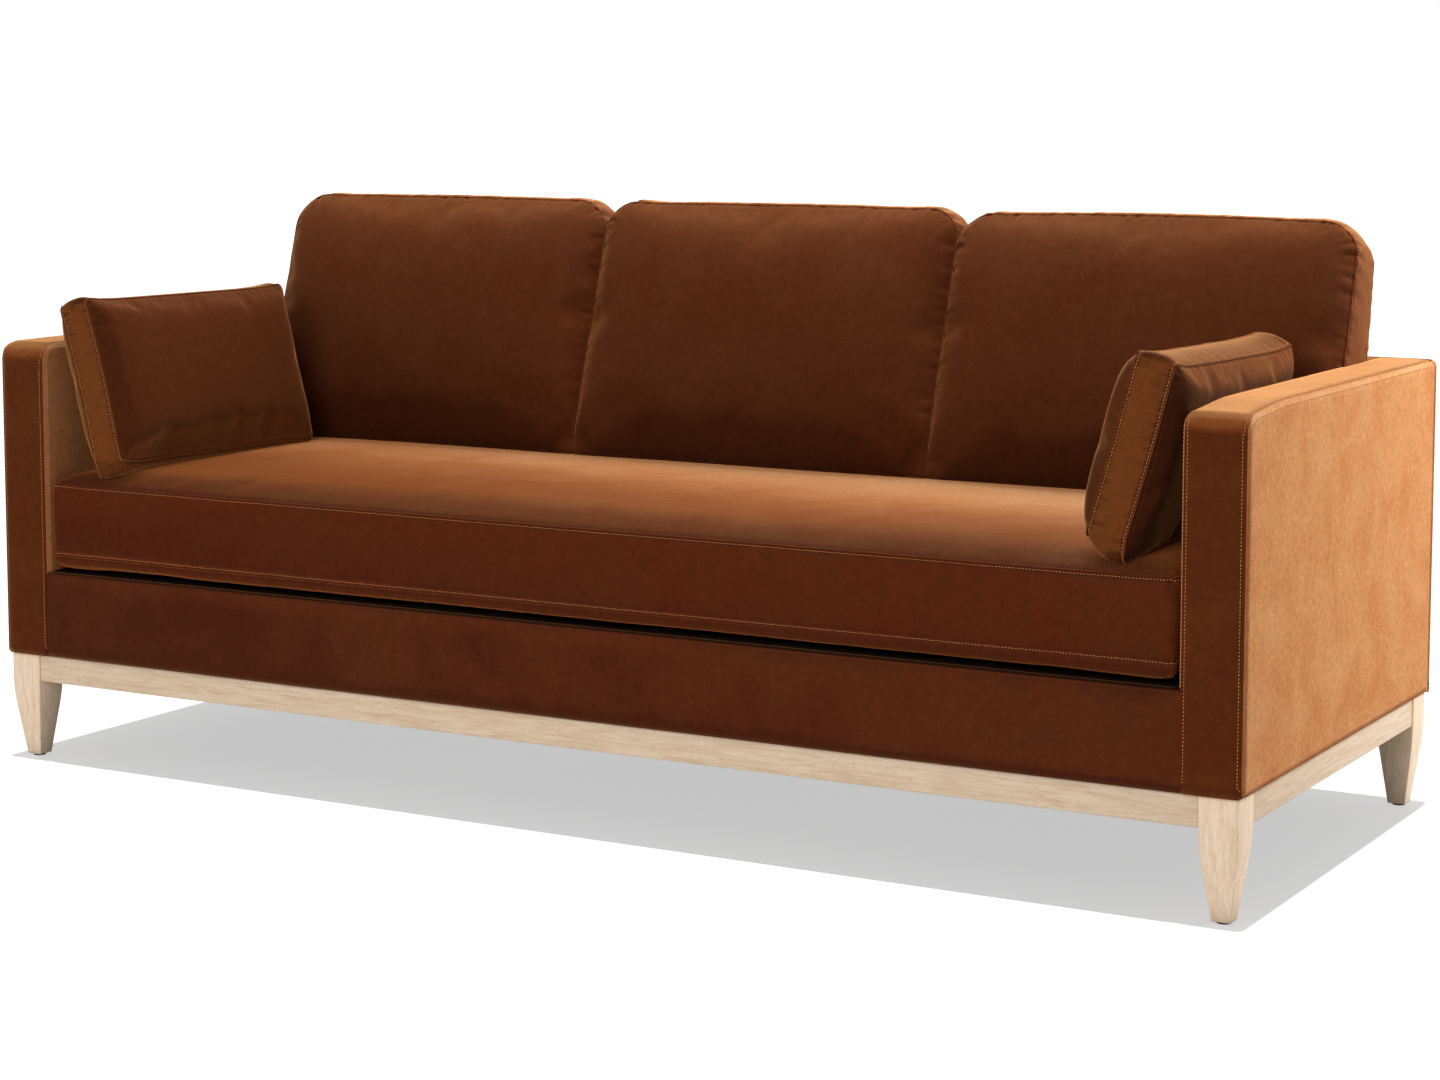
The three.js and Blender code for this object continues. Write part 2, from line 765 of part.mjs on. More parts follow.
// Side bolsters: one leans on the top inner edge of each arm, in the room before the back cushions.
const bolsterFront = -halfDepth + bolster.frontSetback;
const bolsterLength = -Math.max(...backCushionReaches) - bolster.rearGap - bolsterFront;
for (const [sideName, side] of Object.entries(sides)) {
  const cushion = place(`bolster_${sideName}`, cushionGeometry({
    ...bolster,
    width: bolsterLength,
  }), finishes.velvet);
  const up = new THREE.Vector3(side * Math.sin(bolsterLean), 0, Math.cos(bolsterLean));
  const inward = new THREE.Vector3(-side * Math.cos(bolsterLean), 0, Math.sin(bolsterLean));
  const lengthways = up.clone().cross(inward);
  cushion.setRotationFromMatrix(new THREE.Matrix4().makeBasis(lengthways, up, inward));
  cushion.position.y = bolsterFront + bolsterLength / 2;
  const armOffset = inward.dot(new THREE.Vector3(side * innerHalf, 0, bodyTop));
  leanOnSeat(cushion, inward, armOffset, armSolids[sideName]);
}

export default sofa;
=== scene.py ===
import json
import math

import bmesh
import bpy
from mathutils import Matrix, Vector, kdtree, noise
from mathutils.bvhtree import BVHTree

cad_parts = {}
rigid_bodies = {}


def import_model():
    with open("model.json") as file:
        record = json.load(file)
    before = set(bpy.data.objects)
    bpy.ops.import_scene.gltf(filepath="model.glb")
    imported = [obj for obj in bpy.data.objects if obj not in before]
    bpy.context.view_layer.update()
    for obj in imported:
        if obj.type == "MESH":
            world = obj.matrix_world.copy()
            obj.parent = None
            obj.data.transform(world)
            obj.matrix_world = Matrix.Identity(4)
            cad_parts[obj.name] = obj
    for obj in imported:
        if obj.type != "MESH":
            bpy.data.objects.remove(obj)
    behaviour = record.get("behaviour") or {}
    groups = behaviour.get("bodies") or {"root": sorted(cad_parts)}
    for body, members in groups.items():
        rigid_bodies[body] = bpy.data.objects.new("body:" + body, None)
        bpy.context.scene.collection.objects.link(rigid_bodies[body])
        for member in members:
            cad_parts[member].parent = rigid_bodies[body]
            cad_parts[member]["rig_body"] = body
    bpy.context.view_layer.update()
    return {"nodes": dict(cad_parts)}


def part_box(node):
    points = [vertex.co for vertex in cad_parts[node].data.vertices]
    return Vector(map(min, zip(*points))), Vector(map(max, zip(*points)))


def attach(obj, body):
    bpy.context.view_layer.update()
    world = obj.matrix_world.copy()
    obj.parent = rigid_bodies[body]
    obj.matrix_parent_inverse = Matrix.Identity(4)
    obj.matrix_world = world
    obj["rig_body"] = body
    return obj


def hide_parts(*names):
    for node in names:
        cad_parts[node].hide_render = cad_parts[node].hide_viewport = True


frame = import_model()
mm = 0.001
print("frame loaded with", len(frame["nodes"]), "nodes")


def addObject(name, data):
    item = bpy.data.objects.new(name, data)
    bpy.context.scene.collection.objects.link(item)
    return item


# Camera, at the photograph's viewing angle
view = {
    "place": (2.3935, -4.1229, 1.0992),
    "pitchDown": 5.781,
    "yaw": 29.648,
    "lens": 75.57,
    "shiftY": -0.10,
}


def addCamera():
    data = bpy.data.cameras.new("camera")
    data.lens = view["lens"]
    data.shift_y = view["shiftY"]
    data.clip_end = 100
    camera = addObject("camera", data)
    camera.location = view["place"]
    camera.rotation_euler = (math.radians(90 - view["pitchDown"]), 0, math.radians(view["yaw"]))
    bpy.context.scene.camera = camera


addCamera()


# Colours and nodes
def colour(code):
    def linear(value):
        return value / 12.92 if value <= 0.04045 else ((value + 0.055) / 1.055) ** 2.4

    return (*(linear(int(code[i:i + 2], 16) / 255) for i in (0, 2, 4)), 1)


# A link comes from a socket, or from a node, whose first output is then meant
def addNode(tree, kind, settings=None, links=None):
    node = tree.nodes.new("ShaderNode" + kind)
    for name, value in (settings or {}).items():
        if isinstance(name, str) and hasattr(node, name):
            setattr(node, name, value)
        else:
            node.inputs[name].default_value = value
    for name, source in (links or {}).items():
        tree.links.new(source.outputs[0] if hasattr(source, "outputs") else source, node.inputs[name])
    return node


def newMaterial(name):
    material = bpy.data.materials.new(name)
    material.use_nodes = True
    material.node_tree.nodes.clear()
    return material, material.node_tree


def addRamp(tree, source, stops):
    ramp = addNode(tree, "ValToRGB", links={"Fac": source})
    points = ramp.color_ramp.elements
    while len(points) < len(stops):
        points.new(0.5)
    for point, (place, code) in zip(points, stops):
        point.position = place
        point.color = colour(code)
    return ramp


def finishMaterial(tree, settings, links):
    addNode(tree, "OutputMaterial", links={"Surface": addNode(tree, "BsdfPrincipled", settings, links)})


# Cotton velvet: a dense upright pile, dark seen end on and light seen along its flanks. Light and shade are
# painted into its colour by the way the cloth faces: cloth turned up and back, towards the painted light, is
# painted lighter, and cloth turned away from it is painted darker, with painted shade. It also holds hand
# marks.
# The pile is 0.4 mm apart, drawn at 1.6 mm so that it shows. Each tone is a level of the painted light, from
# -1 where the cloth faces away from it to 1 where it faces it, with the colour there in russet and in umber
# patches.
# A sweep of painted light adds to the level by the metre along x, y and z, and lean is how far a hand mark
# shifts it.
velvetLook = {
    "paintedLight": (0, 0.45, 0.89),
    "sweep": (0, 0, 0),
    "sweepLevel": 0,
    "tones": [
        (-1, "692f17", "663119"), (-0.75, "522210", "502412"), (-0.45, "4f200c", "4c220f"),
        (-0.2, "56240f", "532611"), (0.3, "6f3718", "6b391a"), (0.7, "84481f", "804a22"),
        (0.84, "96592f", "935b32"), (0.94, "bc7e52", "b77f54"), (1, "c4875b", "bf885c"),
    ],
    "patchSize": 120 * mm,
    "mottleSize": 14 * mm,
    "pileSize": 1.6 * mm,
    "creaseSize": 45 * mm,
    "lean": 0.1,
    "mottle": 0.14,
    "pile": 0.2,
    "creaseBump": {"Strength": 0.22, "Distance": 3 * mm},
    "pileBump": {"Strength": 0.5, "Distance": 0.5 * mm},
    "roughness": 0.85,
    "sheen": 1.0,
    "sheenRoughness": 0.32,
    "sheenTint": "ffb470",
}
noiseSpread = {"From Min": 0.3, "From Max": 0.7}  # nearly all of a noise texture's values lie in it


def velvet(name, look):
    material, tree = newMaterial(name)
    coordinates = addNode(tree, "TexCoord")
    spot = coordinates.outputs["Object"]
    patch, mottle, pile, crease = (
        addNode(
            tree, "TexNoise", {
                "Scale": 1 / look[size], "Detail": detail, "Roughness": rough, "Distortion": twist,
            }, {"Vector": spot},
        )
        for size, detail, rough, twist in (
            ("patchSize", 3, 0.55, 0.6), ("mottleSize", 5, 0.68, 0), ("pileSize", 2, 0.7, 0),
            ("creaseSize", 3, 0.5, 1.2),
        )
    )

    # The level of painted light: the way the cloth faces, where it lies, and less evenly where it was stroked
    facing, sweep = (
        addNode(tree, "VectorMath", {"operation": "DOT_PRODUCT", 1: look[way]}, {0: source}).outputs["Value"]
        for way, source in (("paintedLight", coordinates.outputs["Normal"]), ("sweep", spot))
    )
    swept = addNode(tree, "Math", {"operation": "ADD"}, {0: facing, 1: sweep})
    strokes = {"To Min": look["sweepLevel"] - look["lean"], "To Max": look["sweepLevel"] + look["lean"]}
    stroked = addNode(tree, "MapRange", {**noiseSpread, **strokes}, {"Value": patch})
    paintedLight = addNode(tree, "Math", {"operation": "ADD"}, {0: swept, 1: stroked})
    share = addNode(tree, "MapRange", {"From Min": -1, "From Max": 1}, {"Value": paintedLight})
    russet, umber = (
        addRamp(tree, share, [((stop[0] + 1) / 2, stop[tone]) for stop in look["tones"]]) for tone in (1, 2)
    )
    toned = addNode(tree, "MapRange", {"From Min": 0.35, "From Max": 0.65}, {"Value": patch})
    cloth = addNode(tree, "MixRGB", links={"Fac": toned, "Color1": russet, "Color2": umber})
    for source, depth in ((mottle, look["mottle"]), (pile, look["pile"])):
        depths = {"To Min": 1 - depth, "To Max": 1 + depth, "clamp": False}
        shade = addNode(tree, "MapRange", {**noiseSpread, **depths}, {"Value": source})
        cloth = addNode(
            tree, "MixRGB", {"blend_type": "MULTIPLY", "Fac": 1.0}, {"Color1": cloth, "Color2": shade},
        )
    creased = addNode(tree, "Bump", look["creaseBump"], {"Height": crease})
    bump = addNode(tree, "Bump", look["pileBump"], {"Height": pile, "Normal": creased})
    finishMaterial(tree, {
        "Roughness": look["roughness"], "IOR": 1.45, "Specular IOR Level": 0.05,
        "Sheen Weight": look["sheen"], "Sheen Roughness": look["sheenRoughness"],
        "Sheen Tint": colour(look["sheenTint"]),
    }, {"Base Color": cloth, "Normal": bump})
    return material


# Whitewashed oak: pale limed wood, open pores along the grain, matt. Pores are 0.3 mm wide, drawn at 0.9 mm.
oakLook = {
    "wash": "dbc4a8",
    "wood": "c9ac8c",
    "pore": "a88869",
    "grainWidth": 5 * mm,
    "poreWidth": 0.9 * mm,
    "washSize": 60 * mm,
    "stretch": 14,
}


def washedOak(name, grainAxis, look):
    material, tree = newMaterial(name)
    place = addNode(tree, "TexCoord").outputs["Object"]
    along = [1.0, 1.0, 1.0]
    along["xyz".index(grainAxis)] = 1 / look["stretch"]
    stretched = addNode(tree, "Mapping", {"Scale": along}, {"Vector": place})
    grain = addNode(
        tree, "TexNoise", {"Scale": 1 / look["grainWidth"], "Detail": 5, "Roughness": 0.6, "Distortion": 0.8},
        {"Vector": stretched},
    )
    pores = addNode(tree, "TexNoise", {"Scale": 1 / look["poreWidth"], "Detail": 2}, {"Vector": stretched})
    wash = addNode(tree, "TexNoise", {"Scale": 1 / look["washSize"], "Detail": 2}, {"Vector": place})
    body = addRamp(tree, grain, [(0.32, look["wood"]), (0.62, look["wash"])])
    openPores = addNode(tree, "MapRange", {"From Min": 0.6, "From Max": 0.72}, {"Value": pores})
    unwashed = addNode(
        tree, "MapRange", {"From Min": 0.35, "From Max": 0.7, "To Min": 0.75, "To Max": 0.3}, {"Value": wash},
    )
    amount = addNode(tree, "Math", {"operation": "MULTIPLY"}, {0: openPores, 1: unwashed})
    wood = addNode(tree, "MixRGB", {"Color2": colour(look["pore"])}, {"Fac": amount, "Color1": body})
    sunk = {"Strength": 0.35, "Distance": 0.4 * mm, "invert": True}
    bump = addNode(tree, "Bump", sunk, {"Height": openPores})
    matt = {"Roughness": 0.55, "IOR": 1.5, "Specular IOR Level": 0.35}
    finishMaterial(tree, matt, {"Base Color": wood, "Normal": bump})
    return material


# Sewing thread: twisted polyester, a little glossier than the pile round it
threadLook = {"shade": "8f4d20", "light": "d58a49", "twist": 1.2 * mm}


def sewingThread(name, look):
    material, tree = newMaterial(name)
    place = addNode(tree, "TexCoord").outputs["Object"]
    twist = addNode(tree, "TexNoise", {"Scale": 1 / look["twist"], "Detail": 1}, {"Vector": place})
    base = addRamp(tree, twist, [(0.3, look["shade"]), (0.65, look["light"])])
    finishMaterial(tree, {"Roughness": 0.5, "IOR": 1.5, "Specular IOR Level": 0.4}, {"Base Color": base})
    return material


# Sawn hardwood of the frame: planed softly, with saw marks across the grain
def sawnHardwood(name):
    material, tree = newMaterial(name)
    place = addNode(tree, "TexCoord").outputs["Object"]
    stretched = addNode(tree, "Mapping", {"Scale": (0.08, 1, 1)}, {"Vector": place})
    rings = {"Scale": 1 / (6 * mm), "Detail": 5, "Distortion": 1}
    grain = addNode(tree, "TexNoise", rings, {"Vector": stretched})
    base = addRamp(tree, grain, [(0.3, "a98657"), (0.55, "c9aa78"), (0.75, "dcc296")])
    bump = addNode(tree, "Bump", {"Strength": 0.3, "Distance": 0.5 * mm}, {"Height": grain})
    finishMaterial(tree, {"Roughness": 0.7, "IOR": 1.5}, {"Base Color": base, "Normal": bump})
    return material


# Hard-drawn spring wire: oiled dark steel with a faint drawn lustre
def drawnSteel(name):
    material, tree = newMaterial(name)
    place = addNode(tree, "TexCoord").outputs["Object"]
    scale = addNode(tree, "TexNoise", {"Scale": 1 / (9 * mm), "Detail": 4}, {"Vector": place})
    base = addRamp(tree, scale, [(0.3, "4c4e51"), (0.7, "85888c")])
    rough = addNode(tree, "MapRange", {"To Min": 0.3, "To Max": 0.5}, {"Value": scale})
    finishMaterial(tree, {"Metallic": 1}, {"Base Color": base, "Roughness": rough})
    return material


# Spunbonded dust cloth: black matted fibres, 2 mm apart where the bonding rolls pressed them
def bondedCloth(name):
    material, tree = newMaterial(name)
    place = addNode(tree, "TexCoord").outputs["Object"]
    fibres = addNode(tree, "TexNoise", {"Scale": 1 / (1.5 * mm), "Detail": 3}, {"Vector": place})
    bonds = addNode(tree, "TexVoronoi", {"Scale": 1 / (2 * mm)}, {"Vector": place})
    base = addRamp(tree, fibres, [(0.35, "141414"), (0.7, "2c2b2a")])
    bump = addNode(tree, "Bump", {"Strength": 0.4, "Distance": 0.3 * mm}, {"Height": bonds})
    finishMaterial(tree, {"Roughness": 0.9, "Specular IOR Level": 0.2}, {"Base Color": base, "Normal": bump})
    return material


# Glides: moulded polypropylene, dark and slightly scuffed
def mouldedGlide(name):
    material, tree = newMaterial(name)
    place = addNode(tree, "TexCoord").outputs["Object"]
    scuff = addNode(tree, "TexNoise", {"Scale": 1 / (3 * mm), "Detail": 4}, {"Vector": place})
    base = addRamp(tree, scuff, [(0.35, "1d1b19"), (0.7, "37332f")])
    finishMaterial(tree, {"Roughness": 0.55}, {"Base Color": base})
    return material


velvetCloth = velvet("cotton_velvet", velvetLook)

# The covers are of the same velvet, each with its own painted light and shade. The arms have a painted
# highlight where they roll over from the front to the top, and painted light on their tops.
armLook = {
    **velvetLook,
    "tones": [
        (-1, "692f17", "663119"), (-0.75, "52230c", "50250e"), (-0.45, "52240b", "50260d"),
        (-0.2, "642f12", "613114"), (0.1, "824522", "7f4724"), (0.4, "985f35", "956036"),
        (0.7, "986539", "95663b"), (0.84, "946642", "916743"), (0.94, "a27350", "9f7452"),
        (1, "aa7c59", "a77d5b"),
    ],
}
armCloth = velvet("cotton_velvet_arms", armLook)

# The inner panels of the arms are painted as lit from the left, so the right arm's, which faces left, is
# painted lighter than the left arm's
innerLook = {
    **velvetLook,
    "paintedLight": (-0.3, 0.45, 0.89),
    "tones": [
        (-0.4, "9c6237", "986442"), (-0.2, "aa6d3f", "a66f48"), (0.05, "b97c4d", "b57d52"),
        (0.3, "dca678", "d8a77b"), (1, "c4875b", "bf885c"),
    ],
    "patchSize": 90 * mm,
    "mottleSize": 9 * mm,
    "lean": 0.02,
    "mottle": 0.2,
}
innerCloth = velvet("cotton_velvet_inner_panels", innerLook)

# The border has painted shade where it turns in under the seat cushion, and is painted lighter to the right
borderLook = {
    **velvetLook,
    "sweep": (0.1, 0, 0),
    "tones": [
        (-0.56, "441b0c", "421c0e"), (-0.45, "4f210d", "4c220f"), (-0.34, "55250f", "522711"),
        (0, "3a1709", "38180a"), (0.5, "1c0a04", "1a0b05"),
    ],
    "sheen": 0.9,
}
borderCloth = velvet("cotton_velvet_border", borderLook)

# The seat is painted lighter towards the back cushions and a little towards the right, as painted light, with
# its turned-up faces painted lighter and its underside, where it bulges below the front seam, painted light
# as a sheen
seatLook = {
    **velvetLook,
    "paintedLight": (0.1, -0.1, 0.6),
    "sweep": (0.07, 0.6, 0),
    "sweepLevel": 0.06,
    "tones": [
        (-1, "b4642f", "af6632"), (-0.8, "b4642f", "af6632"), (-0.64, "98522a", "94542c"),
        (-0.45, "5a2912", "582b14"), (-0.2, "491c0b", "471e0d"), (-0.09, "50200c", "4e220e"),
        (0.05, "54230c", "52250e"), (0.2, "4e2210", "4c2412"), (0.29, "4a2110", "482312"),
        (0.38, "542a14", "512c16"), (0.45, "582d16", "552f18"), (0.52, "704025", "6d4227"),
        (0.59, "97603c", "93613e"), (0.66, "c1865a", "bc875c"), (0.73, "daa676", "d5a678"),
        (0.9, "e3b385", "deb387"),
    ],
    "lean": 0.02,
    "sheen": 0.5,
    "sheenTint": "ff9549",
}
seatCloth = velvet("cotton_velvet_seat", seatLook)

# The back cushions are painted light at their tops and painted darker, as shade, towards the seat
backLook = {
    **velvetLook,
    "tones": [
        (-0.7, "351506", "341608"), (-0.5, "3d1a09", "3b1b0a"), (-0.35, "49210d", "47220f"),
        (-0.22, "522711", "502813"), (-0.1, "592b14", "572d16"), (0.05, "643319", "62341b"),
        (0.3, "6c391d", "693a1f"), (0.6, "764022", "734124"), (0.9, "8e5431", "8b5532"),
        (1, "9b613a", "98613b"),
    ],
    "lean": 0.05,
}
backCushionCloth = velvet("cotton_velvet_back_cushions", backLook)

# The bolsters are painted dark, as shade, on their sides that lean on the arms, and lighter where they face
# away from them
bolsterLook = {
    **velvetLook,
    "tones": [
        (-1, "1c0a04", "1b0b05"), (-0.8, "260e05", "250f07"), (-0.55, "3c1a09", "3a1c0b"),
        (-0.3, "562a11", "532b13"), (-0.1, "693615", "663717"), (0.15, "693615", "663717"),
        (0.35, "56280e", "532910"), (0.6, "411c0a", "3f1d0b"), (0.8, "4c2009", "4a220a"),
        (1, "50220a", "4e240b"),
    ],
    "lean": 0.05,
}
bolsterWays = {"left": {"paintedLight": (0.6, 0, 0.8)}, "right": {"paintedLight": (-0.6, 0, 0.8), "sheen": 0.65}}
bolsterVelvets = {
    name: velvet(f"cotton_velvet_bolster_{name}", {**bolsterLook, **way}) for name, way in bolsterWays.items()
}

# The side panels of the arms are a lighter copy of the velvet, painted light as the lamp at the side lights
# them, so they look light from every side
sideLook = {
    **velvetLook,
    "tones": [
        (-0.45, "5a2c12", "583014"), (-0.3, "7a4422", "7c4a28"), (-0.13, "a2663a", "a67044"),
        (0, "ba7a4a", "c08858"), (0.95, "d59f6e", "d9a679"),
    ],
    "patchSize": 90 * mm,
    "mottleSize": 9 * mm,
    "pileSize": 2.2 * mm,
    "lean": 0.02,
    "mottle": 0.2,
    "pile": 0.16,
    "sheen": 0.4,
}
sideCloth = velvet("cotton_velvet_sides_painted_light", sideLook)

# Decking: the plain dark cloth that a sofa has under its loose cushions. It is made near black partly as
# painted shade, so that the gap under the seat cushion stays black.
deckLook = {
    **velvetLook,
    "tones": [(-1, "0e0603", "0e0703"), (1, "120804", "130905")],
    "sheen": 0,
}
deckCloth = velvet("platform_cloth", deckLook)
thread = sewingThread("sewing_thread", threadLook)
oakAlongX = washedOak("washed_oak_along_x", "x", oakLook)
oakAlongY = washedOak("washed_oak_along_y", "y", oakLook)
# The legs take a lighter copy of the oak, painted light standing in for the light the floor throws up on them
oakUpright = washedOak("washed_oak_upright", "z", {**oakLook, "wash": "eed6ba", "wood": "dcbf9e"})
frameWood = sawnHardwood("sawn_hardwood")
springSteel = drawnSteel("drawn_spring_steel")
dustCloth = bondedCloth("bonded_dust_cloth")
glidePlastic = mouldedGlide("moulded_glide")
print("materials made")


# Pieces
tiny = 1e-6


def makePiece(name, bm, material, body, replaced=()):
    mesh = bpy.data.meshes.new(name)
    bm.to_mesh(mesh)
    bm.free()
    mesh.materials.append(material)
    for face in mesh.polygons:
        face.use_smooth = True
    piece = addObject(name, mesh)
    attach(piece, body)
    if replaced:
        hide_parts(*replaced)
    return piece


def cutEvery(bm, axis, low, high, step):
    count = max(1, round((high - low) / step))
    for i in range(1, count):
        place = Vector((0, 0, 0))
        place["xyz".index(axis)] = low + (high - low) * i / count
        normal = Vector((0, 0, 0))
        normal["xyz".index(axis)] = 1
        geom = bm.verts[:] + bm.edges[:] + bm.faces[:]
        bmesh.ops.bisect_plane(bm, geom=geom, dist=tiny, plane_co=place, plane_no=normal)


def cutAll(bm, low, high, cuts):
    for axis, step in cuts.items():
        i = "xyz".index(axis)
        cutEvery(bm, axis, low[i], high[i], step)


def liesAt(edge, **places):
    return all(
        abs(getattr(vert.co, axis) - place) < 0.01 * mm
        for vert in edge.verts for axis, place in places.items()
    )


def blockBetween(low, high):
    bm = bmesh.new()
    middle = (Vector(low) + Vector(high)) / 2
    size = Vector(high) - Vector(low)
    bmesh.ops.create_cube(bm, size=1, matrix=Matrix.Translation(middle) @ Matrix.Diagonal((*size, 1)))
    return bm


def bevelEdges(bm, edges, offset, segments):
    bmesh.ops.bevel(
        bm, geom=edges, offset=offset, segments=segments, profile=0.5, affect="EDGES", material=-1,
        clamp_overlap=True,
    )


def smoothStep(value):
    value = min(1, max(0, value))
    return value * value * (3 - 2 * value)


def extent(points):
    points = list(points)
    return tuple(Vector([most(point[i] for point in points) for i in range(3)]) for most in (min, max))


def surfaceOf(piece):
    bm = bmesh.new()
    bm.from_mesh(piece.data)
    tree = BVHTree.FromBMesh(bm)
    bm.free()
    return tree


# Seams: where two panels are sewn, the cloth dips, puckers beside the seam, and carries a row of stitches.
# Puckers come in clusters, are stronger and longer in the bends, and their dips are deeper than their ridges.
plainSeam = {
    "fine": 0, "cuts": 2, "bendReach": 12, "bendAngle": 60, "plainBelow": 0, "cornerReach": 0,
    "cornerGather": 0, "bandReach": 1, "bandGather": 1, "endGather": 1, "endFacing": -0.6,
    "stitchSides": (1,), "stitchLift": 0.25 * mm, "sample": 1 * mm, "grooveAway": 2.1, "faceGroove": 0.25,
    "ridge": 0.5, "dip": 1.2, "clusterRun": 9, "reachRange": (0.5, 0.8), "gatherRange": (0.3, 0.9),
    "gatherEnd": 2.5,
}
bandSeed, clusterSeed = 31.7, 7.3  # places in the noise, so that band, panels and clusters don't match


def seamRows(bm):
    used = set()
    rows = []
    for start in [edge for edge in bm.edges if edge.seam]:
        if start in used:
            continue
        used.add(start)
        row = list(start.verts)
        closed = False
        for end in (1, 0):
            while not closed:
                tip = row[-1] if end else row[0]
                onward = [edge for edge in tip.link_edges if edge.seam and edge not in used]
                if not onward:
                    break
                used.add(onward[0])
                following = onward[0].other_vert(tip)
                if following is (row[0] if end else row[-1]):
                    closed = True
                elif end:
                    row.append(following)
                else:
                    row.insert(0, following)
        rows.append((row, closed))
    return rows


# How sharply a seam turns at one of its points: 0 where it runs straight
def rowBend(points, number, seam, closed):
    count, reach = len(points) - 1, seam["bendReach"]
    if closed:
        before, after = points[(number - reach) % count], points[(number + reach) % count]
    else:
        before, after = points[max(0, number - reach)], points[min(count, number + reach)]
    back, onward = points[number] - before, after - points[number]
    if back.length < tiny or onward.length < tiny:
        return 0.0
    return min(1.0, back.angle(onward) / math.radians(seam["bendAngle"]))


# Points all along the seams, each with how far along it lies and how much the seam bends there
def seamSamples(rows, seam):
    samples = []
    length = 0.0
    for row, closed in rows:
        points = [vert.co.copy() for vert in row] + ([row[0].co.copy()] if closed else [])
        for number, (a, b) in enumerate(zip(points, points[1:])):
            steps = max(1, math.ceil((b - a).length / seam["sample"]))
            bend = rowBend(points, number, seam, closed) if a.z > seam["plainBelow"] else 0
            samples.extend(
                (a.lerp(b, i / steps), length + (b - a).length * i / steps, bend) for i in range(steps)
            )
            length += (b - a).length
        length += 1.0
    return samples


# How far a point beside a seam moves along its normal
def seamMove(seam, seed, along, bend, away, onBand, facing):
    pitch, width = seam["gatherPitch"], seam["grooveWidth"]
    lip = seam["lip"] * math.exp(-(away / width) ** 2)
    groove = -seam["depth"] * math.exp(-((away - seam["grooveAway"] * width) / width) ** 2)
    groove *= 1 if onBand else seam["faceGroove"]
    side = bandSeed if onBand else 0.0
    run = seam["clusterRun"] * pitch
    wave = noise.noise(Vector((along / pitch, away / run, seed + side)))
    cluster = 0.5 + 0.5 * noise.noise(Vector((along / run, clusterSeed + seed, side)))
    least, more = seam["reachRange"]
    reach = seam["gatherReach"] * (least + more * cluster + seam["cornerReach"] * bend)
    reach *= seam["bandReach"] if onBand else 1
    wave *= seam["ridge"] if wave > 0 else seam["dip"]
    least, more = seam["gatherRange"]
    fullness = least + more * cluster + seam["cornerGather"] * bend
    gather = seam["gather"] * wave * fullness * math.exp(-(away / reach) ** 1.5)
    gather *= min(1, away / (2 * width))
    if onBand:
        gather *= seam["endGather"] if facing < seam["endFacing"] else seam["bandGather"]
    return groove + lip + gather


# Where the stitches beside each seam run, on the finished surface
def stitchRows(bm, rows, seam, panel):
    surface = BVHTree.FromBMesh(bm)
    stitched = []
    for row, closed, side in [(row, closed, side) for row, closed in rows for side in seam["stitchSides"]]:
        points = []
        count = len(row)
        for i, vert in enumerate(row):
            if not closed and i in (0, count - 1):
                continue
            ahead = row[(i + 1) % count].co - row[i - 1].co
            faces = [face for face in vert.link_faces if face[panel] == side]
            if not faces or ahead.length < tiny * mm:
                continue
            ahead.normalize()
            inward = sum((face.calc_center_median() for face in faces), Vector()) / len(faces) - vert.co
            inward -= ahead * inward.dot(ahead)
            if inward.length < tiny * mm:
                continue
            target = vert.co + inward.normalized() * (seam["stitchOffset"] if side else seam["panelOffset"])
            spot, normal, _, _ = surface.find_nearest(target)
            points.append(spot + normal * seam["stitchLift"])
        if len(points) > 2:
            stitched.append((points, closed))
    return stitched


def sewSeams(piece, seam, seed):
    bm = bmesh.new()
    bm.from_mesh(piece.data)
    panel = bm.faces.layers.int["panel"]
    if seam["fine"]:
        sewn = kdtree.KDTree(len(bm.verts))
        for edge in bm.edges:
            if edge.seam:
                sewn.insert(edge.verts[0].co, edge.index)
        sewn.balance()
        near = {vert for vert in bm.verts if sewn.find(vert.co)[2] < seam["fine"]}
        beside = [edge for edge in bm.edges if edge.verts[0] in near and edge.verts[1] in near]
        bmesh.ops.subdivide_edges(bm, edges=beside, cuts=1, use_grid_fill=True)
    seamVerts = {vert for edge in bm.edges if edge.seam for vert in edge.verts}
    crossing = [e for e in bm.edges if not e.seam and (e.verts[0] in seamVerts) != (e.verts[1] in seamVerts)]
    bmesh.ops.subdivide_edges(bm, edges=crossing, cuts=seam["cuts"], use_grid_fill=True)
    bm.normal_update()

    rows = seamRows(bm)
    samples = seamSamples(rows, seam)
    tree = kdtree.KDTree(len(samples))
    for i, sample in enumerate(samples):
        tree.insert(sample[0], i)
    tree.balance()
    moves = []
    for vert in bm.verts:
        _, nearest, away = tree.find(vert.co)
        if away <= seam["gatherEnd"] * seam["gatherReach"]:
            along, bend = samples[nearest][1:]
            onBand = all(face[panel] == 1 for face in vert.link_faces)
            move = seamMove(seam, seed, along, bend, away, onBand, vert.normal.y)
            moves.append((vert, vert.normal * move))
    for vert, move in moves:
        vert.co += move
    bm.normal_update()
    stitched = stitchRows(bm, rows, seam, panel)
    bm.to_mesh(piece.data)
    bm.free()
    return stitched


stitchLook = {"pitch": 5 * mm, "length": 3.8 * mm, "thick": 1.5 * mm}


